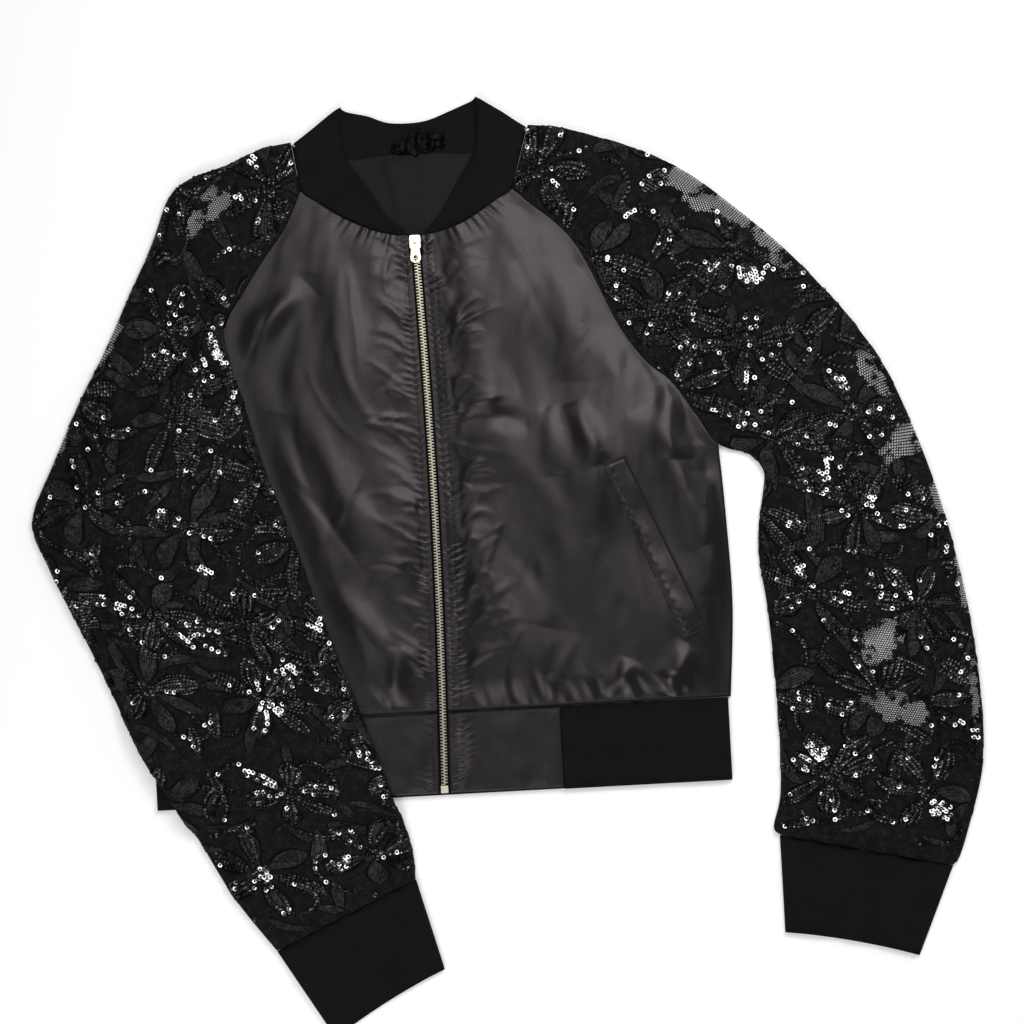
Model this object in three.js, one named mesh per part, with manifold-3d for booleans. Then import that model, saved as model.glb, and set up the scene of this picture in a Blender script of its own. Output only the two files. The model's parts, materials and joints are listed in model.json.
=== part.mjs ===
// A women's satin bomber jacket laid flat on its back, one sleeve folded over the front.
// Millimetres. x runs to the viewer's right, y up along the zip and z up from the table.
// Until the last lines, the origin is the foot of the zip.

import * as THREE from 'three';
import { mergeVertices } from 'three/addons/utils/BufferGeometryUtils.js';
import Module from 'manifold-3d';

// Gaps and walls
const seamGap = 0.44;
const liftGap = 0.3;
const satinWall = 1.6;
const netWall = 1.2;
const ribWall = 2.2;
const collarWall = 2.4;
const liningWall = 1.0;
const tapeWall = 1.0;
const weltWall = 1.2;

// Heights of the flat layers, from the table up
const liningTop = satinWall + liftGap + liningWall;
const tapeTop = liningTop + liftGap + tapeWall;
const frontTop = tapeTop + liftGap + satinWall;
const sideSeamTop = satinWall + liftGap + satinWall;
const collarFrontTop = liningTop + 0.6 + collarWall;
const sleeveEdge = frontTop;
const sleeveLift = frontTop + liftGap + weltWall + 0.5;

// Body
const hemSeamY = 65;
const hemBottomY = -3;
const hemSideX = 236;
const satinHemEnd = 98;
const zipTopY = 455.8;
const zipBow = 4.2;
const zipEdge = 3.2;
const sliderClear = 2.6;
const bodyPuff = 2.6;

// The covering sleeve stays up this far past the body's edge, and comes down over this run
const sideMargin = 12;
const footMargin = 4;
const liftFall = 14;

// Zip
const chainWidth = 5.4;
const chainThick = 2.4;
const tapeWidth = 13;
const boxWidth = 6;
const boxLength = 6;
const sliderLength = 10.5;
const sliderWidth = 10.4;
const plateThick = 1.6;
const tabThick = 1.2;
const tabLength = 18;

// Sleeve sections from the neck to the cuff. a is the inner edge and b the outer one.
// seam is where the two edges of the cloth meet, as a share of the way from a to b.
// wrap is 1 where the cloth turns under at a, lay is 1 where the underside lies on the front,
// up is how much of the body's height lifts the top, and puff is its rise in the middle.
const leftSleeveRows = [
  { ax: -92, ay: 497, bx: -97.5, by: 537.5, seam: 0, wrap: 0, lay: 0, up: 0, puff: 1 },
  { ax: -106, ay: 468.1, bx: -123, by: 533, seam: 0, wrap: 0, lay: 0, up: 0, puff: 2 },
  { ax: -126.3, ay: 441.3, bx: -152.4, by: 520.7, seam: 0, wrap: 0, lay: 0, up: 0, puff: 3 },
  { ax: -143.3, ay: 416.7, bx: -181.7, by: 511.6, seam: 0, wrap: 0, lay: 0, up: 0, puff: 3.5 },
  { ax: -159.5, ay: 389.7, bx: -199.7, by: 496.2, seam: 0, wrap: 0, lay: 0, up: 0.4, puff: 3.5 },
  { ax: -155.6, ay: 355.8, bx: -215.7, by: 458.4, seam: 0.15, wrap: 1, lay: 0, up: 1, puff: 3.5 },
  { ax: -147.9, ay: 330.8, bx: -237.7, by: 416.1, seam: 0.3, wrap: 1, lay: 0, up: 1, puff: 4 },
  { ax: -140.5, ay: 301.6, bx: -259.8, by: 373, seam: 0.46, wrap: 1, lay: 0, up: 1, puff: 4 },
  { ax: -130.9, ay: 265.8, bx: -283.5, by: 329.9, seam: 0.58, wrap: 1, lay: 0, up: 1, puff: 4.5 },
  { ax: -118.1, ay: 230.6, bx: -306.5, by: 283.5, seam: 0.64, wrap: 1, lay: 0, up: 1, puff: 5 },
  { ax: -108.2, ay: 199.7, bx: -325.3, by: 240.2, seam: 0.68, wrap: 1, lay: 0, up: 1, puff: 5 },
  { ax: -97.1, ay: 162.1, bx: -317.2, by: 207.7, seam: 0.73, wrap: 1, lay: 1, up: 1, puff: 4.5 },
  { ax: -84.4, ay: 123.7, bx: -295.3, by: 158.1, seam: 0.8, wrap: 1, lay: 1, up: 1, puff: 4 },
  { ax: -73.1, ay: 91, bx: -275.6, by: 112.7, seam: 0.72, wrap: 1, lay: 1, up: 1, puff: 4 },
  { ax: -64.6, ay: 65.9, bx: -258.8, by: 73.2, seam: 0.6, wrap: 1, lay: 1, up: 1, puff: 4 },
  { ax: -56.1, ay: 40, bx: -242.8, by: 36.2, seam: 0.6, wrap: 1, lay: 1, up: 1, puff: 4 },
  { ax: -48, ay: 16.5, bx: -229, by: 14, seam: 0.6, wrap: 1, lay: 1, up: 1, puff: 4.5 },
  { ax: -41, ay: -6, bx: -214, by: -13, seam: 0.6, wrap: 1, lay: 1, up: 1, puff: 4.5 },
  { ax: -36.3, ay: -17.7, bx: -202.8, by: -30.1, seam: 0.6, wrap: 1, lay: 1, up: 1, puff: 5.5 },
  { ax: -28.8, ay: -46.9, bx: -176.7, by: -78.3, seam: 0.6, wrap: 1, lay: 1, up: 1, puff: 5 },
  { ax: -27.6, ay: -69.9, bx: -144.6, by: -122.7, seam: 0.6, wrap: 1, lay: 1, up: 1, puff: 1 },
];
const rightSleeveRows = [
  { ax: 81.8, ay: 490, bx: 97.4, by: 541.5, seam: 0, wrap: 0, lay: 0, up: 0, puff: 1 },
  { ax: 95.7, ay: 476.9, bx: 123.6, by: 537.8, seam: 0, wrap: 0, lay: 0, up: 0, puff: 2 },
  { ax: 113, ay: 462.8, bx: 155.9, by: 527.8, seam: 0, wrap: 0, lay: 0, up: 0, puff: 3 },
  { ax: 128.5, ay: 445.5, bx: 192.1, by: 513.5, seam: 0, wrap: 0, lay: 0, up: 0, puff: 4 },
  { ax: 142.6, ay: 419.3, bx: 228, by: 493.5, seam: 0, wrap: 0, lay: 0, up: 0, puff: 4.5 },
  { ax: 162.4, ay: 374.7, bx: 263.3, by: 464.5, seam: 0, wrap: 0, lay: 0, up: 0, puff: 5 },
  { ax: 182.9, ay: 344, bx: 298.5, by: 432.2, seam: 0, wrap: 0, lay: 0, up: 0, puff: 5 },
  { ax: 204.5, ay: 324.8, bx: 329.5, by: 397.7, seam: 0, wrap: 0, lay: 0, up: 0, puff: 5 },
  { ax: 222.2, ay: 297.3, bx: 356.4, by: 363.3, seam: 0, wrap: 0, lay: 0, up: 0, puff: 5 },
  { ax: 239, ay: 272, bx: 379.1, by: 326.8, seam: 0, wrap: 0, lay: 0, up: 0, puff: 5 },
  { ax: 263.1, ay: 262.5, bx: 398.6, by: 278.9, seam: 0, wrap: 1, lay: 0, up: 0, puff: 5 },
  { ax: 275.2, ay: 244.6, bx: 414.8, by: 228.8, seam: 0, wrap: 1, lay: 0, up: 0, puff: 5 },
  { ax: 269.7, ay: 212.1, bx: 424.9, by: 187.2, seam: 0, wrap: 1, lay: 0, up: 0, puff: 5 },
  { ax: 267, ay: 178.4, bx: 432.7, by: 149.8, seam: 0, wrap: 1, lay: 0, up: 0, puff: 5 },
  { ax: 271.2, ay: 140.5, bx: 438.1, by: 112.6, seam: 0, wrap: 1, lay: 0, up: 0, puff: 5 },
  { ax: 273.9, ay: 100.5, bx: 441.6, by: 71.3, seam: 0, wrap: 1, lay: 0, up: 0, puff: 5 },
  { ax: 275.4, ay: 60.3, bx: 442.8, by: 31.1, seam: 0, wrap: 1, lay: 0, up: 0, puff: 5 },
  { ax: 275.8, ay: 22.2, bx: 439.8, by: -8.7, seam: 0, wrap: 1, lay: 0, up: 0, puff: 5.5 },
  { ax: 273.8, ay: -18.2, bx: 427.4, by: -50.6, seam: 0, wrap: 1, lay: 0, up: 0, puff: 5.5 },
  { ax: 271.9, ay: -50, bx: 412.7, by: -82.3, seam: 0, wrap: 1, lay: 0, up: 0, puff: 1 },
];
const raglanSteps = 2;
const armpitRow = 9;

// Cuff corners: a on the inner edge and b on the outer one, at the far end from the sleeve
const leftCuffEnd = { ax: -7.9, ay: -145.3, bx: -100.2, by: -196.6 };
const rightCuffEnd = { ax: 272.1, ay: -130.1, bx: 381.1, by: -154.9 };
const cuffEdge = 5.4;

// Side seam of the right half, from the hem seam up to the armpit
const sideRows = [
  { x: 238, y: 65 },
  { x: 243.5, y: 140 },
  { x: 242, y: 212 },
  { x: 239, y: 272 },
];
const sideSteps = 7;

// Collar band, from the zip round to the neck fold: s is on the seam and f on the free edge
const collarLeftRows = [
  { sx: -6.6, sy: 456.8, fx: -8.4, fy: 461.8 },
  { sx: -17, sy: 458, fx: -19.5, fy: 470 },
  { sx: -37, sy: 463.6, fx: -30.6, fy: 487 },
  { sx: -59, sy: 474.6, fx: -41.5, fy: 504.8 },
  { sx: -77, sy: 487, fx: -50, fy: 516.5 },
  { sx: -91.3, sy: 498.4, fx: -55.9, fy: 530 },
  { sx: -93.6, sy: 518.5, fx: -56.4, fy: 548 },
  { sx: -95.6, sy: 536.6, fx: -56, fy: 564.7 },
];
const collarRightRows = [
  { sx: 7.6, sy: 456.8, fx: 11.6, fy: 461.8 },
  { sx: 22, sy: 459.2, fx: 22.6, fy: 474 },
  { sx: 37, sy: 464, fx: 32, fy: 489 },
  { sx: 53, sy: 472.6, fx: 42, fy: 505.5 },
  { sx: 67.5, sy: 482.4, fx: 49.5, fy: 517 },
  { sx: 81, sy: 491.2, fx: 53.9, fy: 529 },
  { sx: 88, sy: 515.5, fx: 55.2, fy: 548 },
  { sx: 96, sy: 540.2, fx: 56.2, fy: 567.6 },
];
const collarBackRows = [
  { sx: -91, sy: 531, fx: -54, fy: 561 },
  { sx: -72, sy: 524, fx: -45, fy: 558.5 },
  { sx: -49, sy: 519, fx: -33, fy: 555.5 },
  { sx: -21.7, sy: 521.5, fx: -15, fy: 549 },
  { sx: 16.8, sy: 521.5, fx: 11.7, fy: 549 },
  { sx: 46, sy: 519.5, fx: 33, fy: 556 },
  { sx: 71, sy: 525, fx: 46, fy: 561 },
  { sx: 91, sy: 534, fx: 54, fy: 564 },
];
const neckRow = 5;
const collarFrontSteps = 4;
const collarBackSteps = 2;

// Folds in the cloth: a ridge, or a trough where rise is below 0, bowed sideways by bow
const frontFolds = [
  { x0: 119, y0: 312, x1: 140, y1: 261, rise: 2.2, width: 9, bow: 2 },
  { x0: 176, y0: 305, x1: 222, y1: 190, rise: 2.4, width: 13, bow: 6 },
  { x0: 206, y0: 326, x1: 205, y1: 262, rise: 2.6, width: 11, bow: -8 },
  { x0: 158, y0: 99, x1: 139, y1: 70, rise: 2.2, width: 8, bow: 0 },
  { x0: 207, y0: 108, x1: 180, y1: 80, rise: 2.6, width: 9, bow: 4 },
  { x0: 193, y0: 88, x1: 186, y1: 70, rise: 1.8, width: 8, bow: 0 },
  { x0: 18, y0: 294, x1: 86, y1: 297, rise: -1.3, width: 8, bow: 8 },
  { x0: 102, y0: 310, x1: 106, y1: 254, rise: 1.6, width: 10, bow: 0 },
  { x0: 126, y0: 432, x1: 121, y1: 340, rise: 2.2, width: 15, bow: 4 },
  { x0: 70, y0: 440, x1: 58, y1: 250, rise: 2.4, width: 20, bow: -8 },
  { x0: 150, y0: 372, x1: 92, y1: 130, rise: 2.2, width: 24, bow: 14 },
  { x0: 30, y0: 226, x1: 84, y1: 90, rise: 1.8, width: 18, bow: -6 },
  { x0: 226, y0: 250, x1: 226, y1: 150, rise: 1.6, width: 10, bow: 3 },
  { x0: -86, y0: 444, x1: -119, y1: 318, rise: -1.5, width: 10, bow: -8 },
  { x0: -148, y0: 366, x1: -88, y1: 418, rise: 2.4, width: 11, bow: 4 },
  { x0: -62, y0: 452, x1: -40, y1: 250, rise: 2.4, width: 17, bow: -10 },
  { x0: -100, y0: 330, x1: -34, y1: 178, rise: 2.2, width: 18, bow: -8 },
  { x0: -122, y0: 318, x1: -66, y1: 196, rise: -1.2, width: 13, bow: 4 },
  { x0: -84, y0: 168, x1: -28, y1: 92, rise: 2, width: 13, bow: 4 },
  { x0: -30, y0: 120, x1: -36, y1: 72, rise: 1.6, width: 9, bow: 0 },
];
const sleeveFolds = [
  { x0: -120, y0: 462, x1: -176, y1: 470, rise: 1.8, width: 9, bow: 4 },
  { x0: -176, y0: 404, x1: -218, y1: 402, rise: 2, width: 10, bow: 3 },
  { x0: -166, y0: 330, x1: -252, y1: 346, rise: 2.2, width: 11, bow: 6 },
  { x0: -150, y0: 262, x1: -290, y1: 262, rise: 2.4, width: 13, bow: 8 },
  { x0: -180, y0: 214, x1: -300, y1: 206, rise: -1.8, width: 10, bow: 6 },
  { x0: -122, y0: 150, x1: -250, y1: 128, rise: 2, width: 12, bow: -6 },
  { x0: -96, y0: 66, x1: -196, y1: 44, rise: 2.2, width: 12, bow: 4 },
  { x0: -70, y0: 0, x1: -170, y1: -24, rise: 2, width: 10, bow: 6 },
  { x0: 132, y0: 488, x1: 190, y1: 474, rise: 1.8, width: 10, bow: 4 },
  { x0: 176, y0: 408, x1: 262, y1: 424, rise: 2.2, width: 12, bow: 6 },
  { x0: 214, y0: 344, x1: 320, y1: 352, rise: 2.6, width: 12, bow: 10 },
  { x0: 246, y0: 290, x1: 348, y1: 300, rise: 2.6, width: 11, bow: 8 },
  { x0: 288, y0: 250, x1: 392, y1: 244, rise: -2, width: 9, bow: 6 },
  { x0: 284, y0: 218, x1: 384, y1: 190, rise: 2.4, width: 12, bow: 6 },
  { x0: 290, y0: 132, x1: 400, y1: 120, rise: 2, width: 14, bow: -6 },
  { x0: 292, y0: 44, x1: 410, y1: 38, rise: 2.2, width: 13, bow: 6 },
  { x0: 292, y0: -8, x1: 400, y1: -20, rise: 1.8, width: 10, bow: -4 },
];
const gatherCount = 6;
const gatherRise = 2.2;
const gatherReach = 34;

// Pocket welt of the right half, lower end first: in is its edge near the zip
const weltRows = [
  { inX: 202.8, inY: 113, outX: 222.6, outY: 122.6 },
  { inX: 143.1, inY: 260.8, outX: 162.3, outY: 267.1 },
];

// Colours and finishes
const satin = { color: 0x1d1a1b, roughness: 0.4, metalness: 0 };
const net = { color: 0x0c0c0d, roughness: 0.6, metalness: 0 };
const rib = { color: 0x0b0b0c, roughness: 0.9, metalness: 0 };
const lining = { color: 0x242223, roughness: 0.6, metalness: 0 };
const tape = { color: 0x0a0a0a, roughness: 0.9, metalness: 0 };
const metal = { color: 0xd8c79c, roughness: 0.3, metalness: 1 };

const jacket = new THREE.Group();
const wasm = await Module();
wasm.setup();

function addPiece(name, geometry, finish) {
  const piece = new THREE.Mesh(geometry, new THREE.MeshStandardMaterial(finish));
  piece.name = name;
  jacket.add(piece);
  return piece;
}

const mix = (a, b, t) => a + (b - a) * t;

function ease(t) {
  const c = Math.min(1, Math.max(0, t));
  return c * c * (3 - 2 * c);
}

// Rows of a table with smooth steps between them; switches such as wrap change evenly
function denser(rows, steps) {
  const even = ['seam', 'wrap', 'lay', 'up'];
  const made = [];
  for (let i = 0; i < rows.length - 1; i++) {
    const [p, q, r] = [rows[Math.max(0, i - 1)], rows[i], rows[i + 1]];
    const s = rows[Math.min(rows.length - 1, i + 2)];
    for (let k = 0; k < steps; k++) {
      const t = k / steps;
      const row = {};
      for (const key of Object.keys(q)) {
        const slope = r[key] - p[key];
        const square = 2 * p[key] - 5 * q[key] + 4 * r[key] - s[key];
        const cube = 3 * (q[key] - r[key]) + s[key] - p[key];
        const curve = q[key] + 0.5 * t * (slope + t * (square + t * cube));
        row[key] = even.includes(key) ? mix(q[key], r[key], t) : curve;
      }
      made.push(row);
    }
  }
  made.push({ ...rows[rows.length - 1] });
  return made;
}

// A closed wall between two grids of points; around joins the last column to the first
function wallBetween(outer, inner, around = false) {
  const rows = outer.length;
  const cols = outer[0].length;
  const under = rows * cols;
  const points = [...outer.flat(), ...inner.flat()];
  const triangles = [];
  const quad = (a, b, c, d) => triangles.push([a, b, c], [a, c, d]);
  const stripCount = around ? cols : cols - 1;
  for (let i = 0; i < rows - 1; i++) {
    for (let j = 0; j < stripCount; j++) {
      const next = (j + 1) % cols;
      const corners = [i * cols + j, i * cols + next, (i + 1) * cols + next, (i + 1) * cols + j];
      quad(...corners);
      quad(...corners.map((c) => c + under).reverse());
    }
  }
  for (let j = 0; j < stripCount; j++) {
    const next = (j + 1) % cols;
    const last = (rows - 1) * cols;
    quad(next, j, j + under, next + under);
    quad(last + j, last + next, last + next + under, last + j + under);
  }
  if (!around) {
    for (let i = 0; i < rows - 1; i++) {
      const [a, b] = [i * cols, (i + 1) * cols];
      quad(a, b, b + under, a + under);
      quad(b + cols - 1, a + cols - 1, a + cols - 1 + under, b + cols - 1 + under);
    }
  }
  let volume = 0;
  for (const [a, b, c] of triangles) {
    volume += points[a].dot(new THREE.Vector3().crossVectors(points[b], points[c]));
  }
  const facing = volume < 0 ? triangles.map(([a, b, c]) => [a, c, b]) : triangles;
  const geometry = new THREE.BufferGeometry();
  const places = points.flatMap((p) => p.toArray());
  geometry.setAttribute('position', new THREE.Float32BufferAttribute(places, 3));
  geometry.setIndex(facing.flat());
  geometry.computeVertexNormals();
  return geometry;
}

// A wall hanging down by thick from a surface of height top(x, y) over a plan grid
function layer(plan, top, thick) {
  const outer = plan.map((row) => row.map((p) => new THREE.Vector3(p.x, p.y, top(p.x, p.y))));
  const inner = outer.map((row) => row.map((p) => new THREE.Vector3(p.x, p.y, p.z - thick)));
  return wallBetween(outer, inner);
}

// A plan grid filled in between four edges: low and high run across, left and right run up
function fillPlan(low, high, left, right) {
  let run = 0;
  const along = right.map((p, j) => {
    run += j ? Math.hypot(p.x - right[j - 1].x, p.y - right[j - 1].y) : 0;
    return run;
  });
  const last = low.length - 1;
  return right.map((r, j) => low.map((l, i) => {
    const s = i / last;
    const t = along[j] / run;
    const at = (key) => {
      const corners = mix(mix(low[0][key], low[last][key], s), mix(high[0][key], high[last][key], s), t);
      return mix(l[key], high[i][key], t) + mix(left[j][key], r[key], s) - corners;
    };
    return { x: at('x'), y: at('y') };
  }));
}

// Height of the folds at a place: each is a soft ridge about a bowed line
function foldHeight(folds, x, y) {
  let height = 0;
  for (const fold of folds) {
    const [dx, dy] = [fold.x1 - fold.x0, fold.y1 - fold.y0];
    const length = Math.hypot(dx, dy);
    const along = ((x - fold.x0) * dx + (y - fold.y0) * dy) / length;
    const t = Math.min(1, Math.max(0, along / length));
    const across = ((x - fold.x0) * -dy + (y - fold.y0) * dx) / length - fold.bow * 4 * t * (1 - t);
    const beyond = along - t * length;
    height += fold.rise * Math.exp(-(across * across + beyond * beyond) / (fold.width * fold.width));
  }
  return height;
}

// Sections stand closer along the raglan seam than below the armpit
function sleeveSections(rows) {
  const close = denser(rows, raglanSteps).slice(0, armpitRow * raglanSteps + 1);
  return [...close, ...rows.slice(armpitRow + 1)];
}

const leftSections = sleeveSections(leftSleeveRows);
const rightSections = sleeveSections(rightSleeveRows);
const armpitSection = armpitRow * raglanSteps;

// A place in a sleeve section, a share of the way from a to b and then a distance beyond it
function sectionPlace(row, share, beyond) {
  const width = Math.hypot(row.bx - row.ax, row.by - row.ay);
  const far = share + beyond / width;
  return { x: mix(row.ax, row.bx, far), y: mix(row.ay, row.by, far) };
}

// Raglan seams as the panels see them, from the armpit up to the neck
function raglanEdge(sections) {
  return sections.slice(0, armpitSection + 1).reverse()
    .map((row) => sectionPlace(row, row.seam, -seamGap / 2));
}

const sideEdge = denser(sideRows, 2).slice(0, sideSteps - 1);
const rightEdge = [...sideEdge, ...raglanEdge(rightSections)];
const leftEdge = [...sideEdge.map((p) => ({ x: -p.x, y: p.y })), ...raglanEdge(leftSections)];

// x of an edge at a height y
function edgeX(edge, y) {
  const k = edge.findIndex((p) => p.y > y);
  if (k < 1) {
    return k < 0 ? edge[edge.length - 1].x : edge[0].x;
  }
  const [low, high] = [edge[k - 1], edge[k]];
  return mix(low.x, high.x, (y - low.y) / (high.y - low.y));
}

const coverEdge = leftSections.slice(4 * raglanSteps).reverse().map((row) => ({ x: row.ax, y: row.ay }));
const coverTopY = leftSleeveRows[4].ay;
const zipX = (y) => zipBow * Math.sin((Math.PI * Math.min(y, zipTopY)) / zipTopY);

// Top of the fronts: puffed inside their edges and folded, level under the sleeve that covers them
function bodyTop(x, y) {
  const side = edgeX(x > 0 ? rightEdge : leftEdge, y);
  const inside = Math.abs(side) - Math.abs(x);
  const drop = (frontTop - sideSeamTop) * (1 - ease(inside / 14)) * ease((285 - y) / 30);
  const bare = x > 0 ? 1 : ease((x - edgeX(coverEdge, y) - 3) / 22 + Math.max(0, y - coverTopY) / 30);
  const fromZip = Math.abs(x - zipX(y));
  const fromEnds = ease((y - hemSeamY) / 26) * ease((498 - y) / 50);
  const fill = ease((fromZip - 5) / 34) * ease(inside / 40) * fromEnds;
  const edges = ease((fromZip - 6) / 12) * ease(inside / 12) * ease((500 - y) / 26);
  const folds = Math.max(-1.6, foldHeight(frontFolds, x, y));
  return frontTop - drop + bare * (bodyPuff * fill + folds * edges);
}

// How far the covering sleeve is lifted by the body under it
function bodyLift(x, y) {
  const beside = Math.max(0, edgeX(leftEdge, y) - sideMargin - x) / liftFall;
  const below = Math.max(0, hemBottomY - footMargin - y) / (1.7 * liftFall);
  return sleeveLift * (1 - ease(Math.hypot(beside, below)));
}

// Places along a run, gathered where the cloth bends down off the body at bend
function spread(from, to, bend, count) {
  if (bend < from + 2 || bend > to - 4) {
    return Array.from({ length: count }, (_, k) => mix(from, to, (k + 1) / count));
  }
  const fall = Math.min(liftFall, to - bend - 1);
  const before = count > 5 ? [mix(from, bend, 0.5), bend] : [bend];
  const after = count - 1 - before.length;
  return [...before, ...Array.from({ length: after }, (_, k) => bend + (fall * (k + 1)) / after), to];
}

// How far along a section the cloth starts to come down off the body, or 0
function fallsAt(plan, width, lift) {
  const full = lift(plan(0).x, plan(0).y);
  for (let along = 0; full > 0 && along < width; along += 0.5) {
    const p = plan(along);
    if (lift(p.x, p.y) < full - 0.02) {
      return along;
    }
  }
  return 0;
}

// One sleeve section as a run of places round it, each with its inner partner
function sleeveSection(row, lift, toCuff) {
  const width = Math.hypot(row.bx - row.ax, row.by - row.ay);
  const radius = sleeveEdge / 2;
  const plan = (along) => sectionPlace(row, along / width, 0);
  const heightUnder = (along, share) => {
    const p = plan(along);
    return share * lift(p.x, p.y);
  };
  const heightOver = (along) => {
    const p = plan(along);
    const t = along / width;
    const rise = ease(t / 0.22) * ease((1 - t) / 0.22);
    const rim = ease(along / 16) * ease((width - along) / 16);
    const wave = 0.5 - 0.5 * Math.cos(2 * Math.PI * gatherCount * t);
    const gather = gatherRise * ease(1 - toCuff / gatherReach) * wave;
    const folds = foldHeight(sleeveFolds, p.x, p.y);
    return row.up * lift(p.x, p.y) + sleeveEdge + row.puff * rise + (folds + gather) * rim;
  };
  const outer = [];
  const inner = [];
  const put = (along, z, acrossOut, zOut) => {
    const p = plan(along);
    const q = plan(along - acrossOut * netWall);
    outer.push(new THREE.Vector3(p.x, p.y, z));
    inner.push(new THREE.Vector3(q.x, q.y, z - zOut * netWall));
  };
  const turn = Math.PI * Math.min(1, 2 * row.wrap + 0.01);
  const edgeA = seamGap / 2 + radius * Math.sin(Math.min(turn, Math.PI / 2));
  const seamAt = row.seam * width;
  const start = Math.max(seamAt, turn > 2 ? edgeA + liftGap + 0.1 : 0) + seamGap / 2;
  const edgeB = width - radius;
  const bend = row.wrap > 0.6 ? fallsAt(plan, width, lift) : 0;
  const bottomSteps = 6;
  for (const along of [start, ...spread(start, edgeB, bend, bottomSteps).slice(0, -1)]) {
    put(along, heightUnder(along, row.lay), 0, -1);
  }
  const topB = heightOver(edgeB);
  const underB = heightUnder(edgeB, row.lay);
  const foldSteps = 4;
  for (let k = 0; k <= foldSteps; k++) {
    const angle = Math.PI * (k / foldSteps - 0.5);
    const high = (topB - underB) / 2;
    const [cos, sin] = [Math.cos(angle), Math.sin(angle)];
    put(edgeB + radius * cos, underB + high + high * sin, cos, sin);
  }
  const topSteps = 14;
  for (let k = 1; k < topSteps; k++) {
    const along = mix(edgeB, edgeA, k / topSteps);
    put(along, heightOver(along), 0, 1);
  }
  const topA = heightOver(edgeA);
  const underA = turn > 3 ? heightUnder(edgeA, 1) : topA - 2 * radius;
  const highA = (topA - underA) / 2;
  for (let k = 0; k <= foldSteps; k++) {
    const angle = Math.PI / 2 + (turn * k) / foldSteps;
    const [cos, sin] = [Math.cos(angle), Math.sin(angle)];
    put(edgeA + radius * cos, underA + highA + highA * sin, cos, sin);
  }
  const end = Math.PI / 2 + turn;
  const runUnder = Math.max(0, 2 * row.wrap - 1) * Math.max(0, seamAt - edgeA);
  const underSteps = 4;
  for (const shift of spread(0, Math.max(runUnder, 0.1), bend - edgeA, underSteps)) {
    const along = edgeA + radius * Math.cos(end) - shift * Math.sin(end);
    const hanging = underA + highA + highA * Math.sin(end) + shift * Math.cos(end);
    put(along, runUnder > 0 ? heightUnder(along, 1) : hanging, Math.cos(end), Math.sin(end));
  }
  return { outer, inner };
}

function sleeve(sections, lift) {
  const mid = sections.map((row) => sectionPlace(row, 0.5, 0));
  const toCuff = mid.map(() => 0);
  for (let i = mid.length - 2; i >= 0; i--) {
    toCuff[i] = toCuff[i + 1] + Math.hypot(mid[i].x - mid[i + 1].x, mid[i].y - mid[i + 1].y);
  }
  const rings = sections.map((row, i) => sleeveSection(row, lift, toCuff[i]));
  return wallBetween(rings.map((r) => r.outer), rings.map((r) => r.inner));
}

// A flattened rib tube from the end of a sleeve to its own free end
function cuff(lastRow, end) {
  const rows = 5;
  const outer = [];
  const inner = [];
  const start = sectionPlace(lastRow, 0.5, 0);
  const stop = { x: (end.ax + end.bx) / 2, y: (end.ay + end.by) / 2 };
  const reach = Math.hypot(stop.x - start.x, stop.y - start.y);
  for (let i = 0; i < rows; i++) {
    const t = mix(seamGap / reach + 0.002, 1, i / (rows - 1));
    const row = {};
    for (const key of ['ax', 'ay', 'bx', 'by']) {
      row[key] = mix(lastRow[key], end[key], t);
    }
    const width = Math.hypot(row.bx - row.ax, row.by - row.ay);
    const high = mix(sleeveEdge, cuffEdge, t) / 2;
    const ring = [];
    const ringIn = [];
    const foldSteps = 4;
    const flatSteps = 5;
    for (const side of [1, -1]) {
      for (let k = 0; k <= foldSteps; k++) {
        const angle = side * Math.PI * (k / foldSteps - 0.5);
        const turnAt = side > 0 ? width - high : high;
        const place = (r) => sectionPlace(row, (turnAt + side * r * Math.cos(angle)) / width, 0);
        ring.push(new THREE.Vector3(place(high).x, place(high).y, high + high * Math.sin(angle)));
        const r = high - ribWall;
        ringIn.push(new THREE.Vector3(place(r).x, place(r).y, high + r * Math.sin(angle)));
      }
      for (let k = 1; k < flatSteps; k++) {
        const share = side > 0 ? k / flatSteps : 1 - k / flatSteps;
        const along = mix(width - high, high, share);
        const p = sectionPlace(row, along / width, 0);
        const z = side > 0 ? 2 * high : 0;
        ring.push(new THREE.Vector3(p.x, p.y, z));
        ringIn.push(new THREE.Vector3(p.x, p.y, z - side * ribWall));
      }
    }
    outer.push(ring);
    inner.push(ringIn);
  }
  return wallBetween(outer, inner, true);
}

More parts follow.
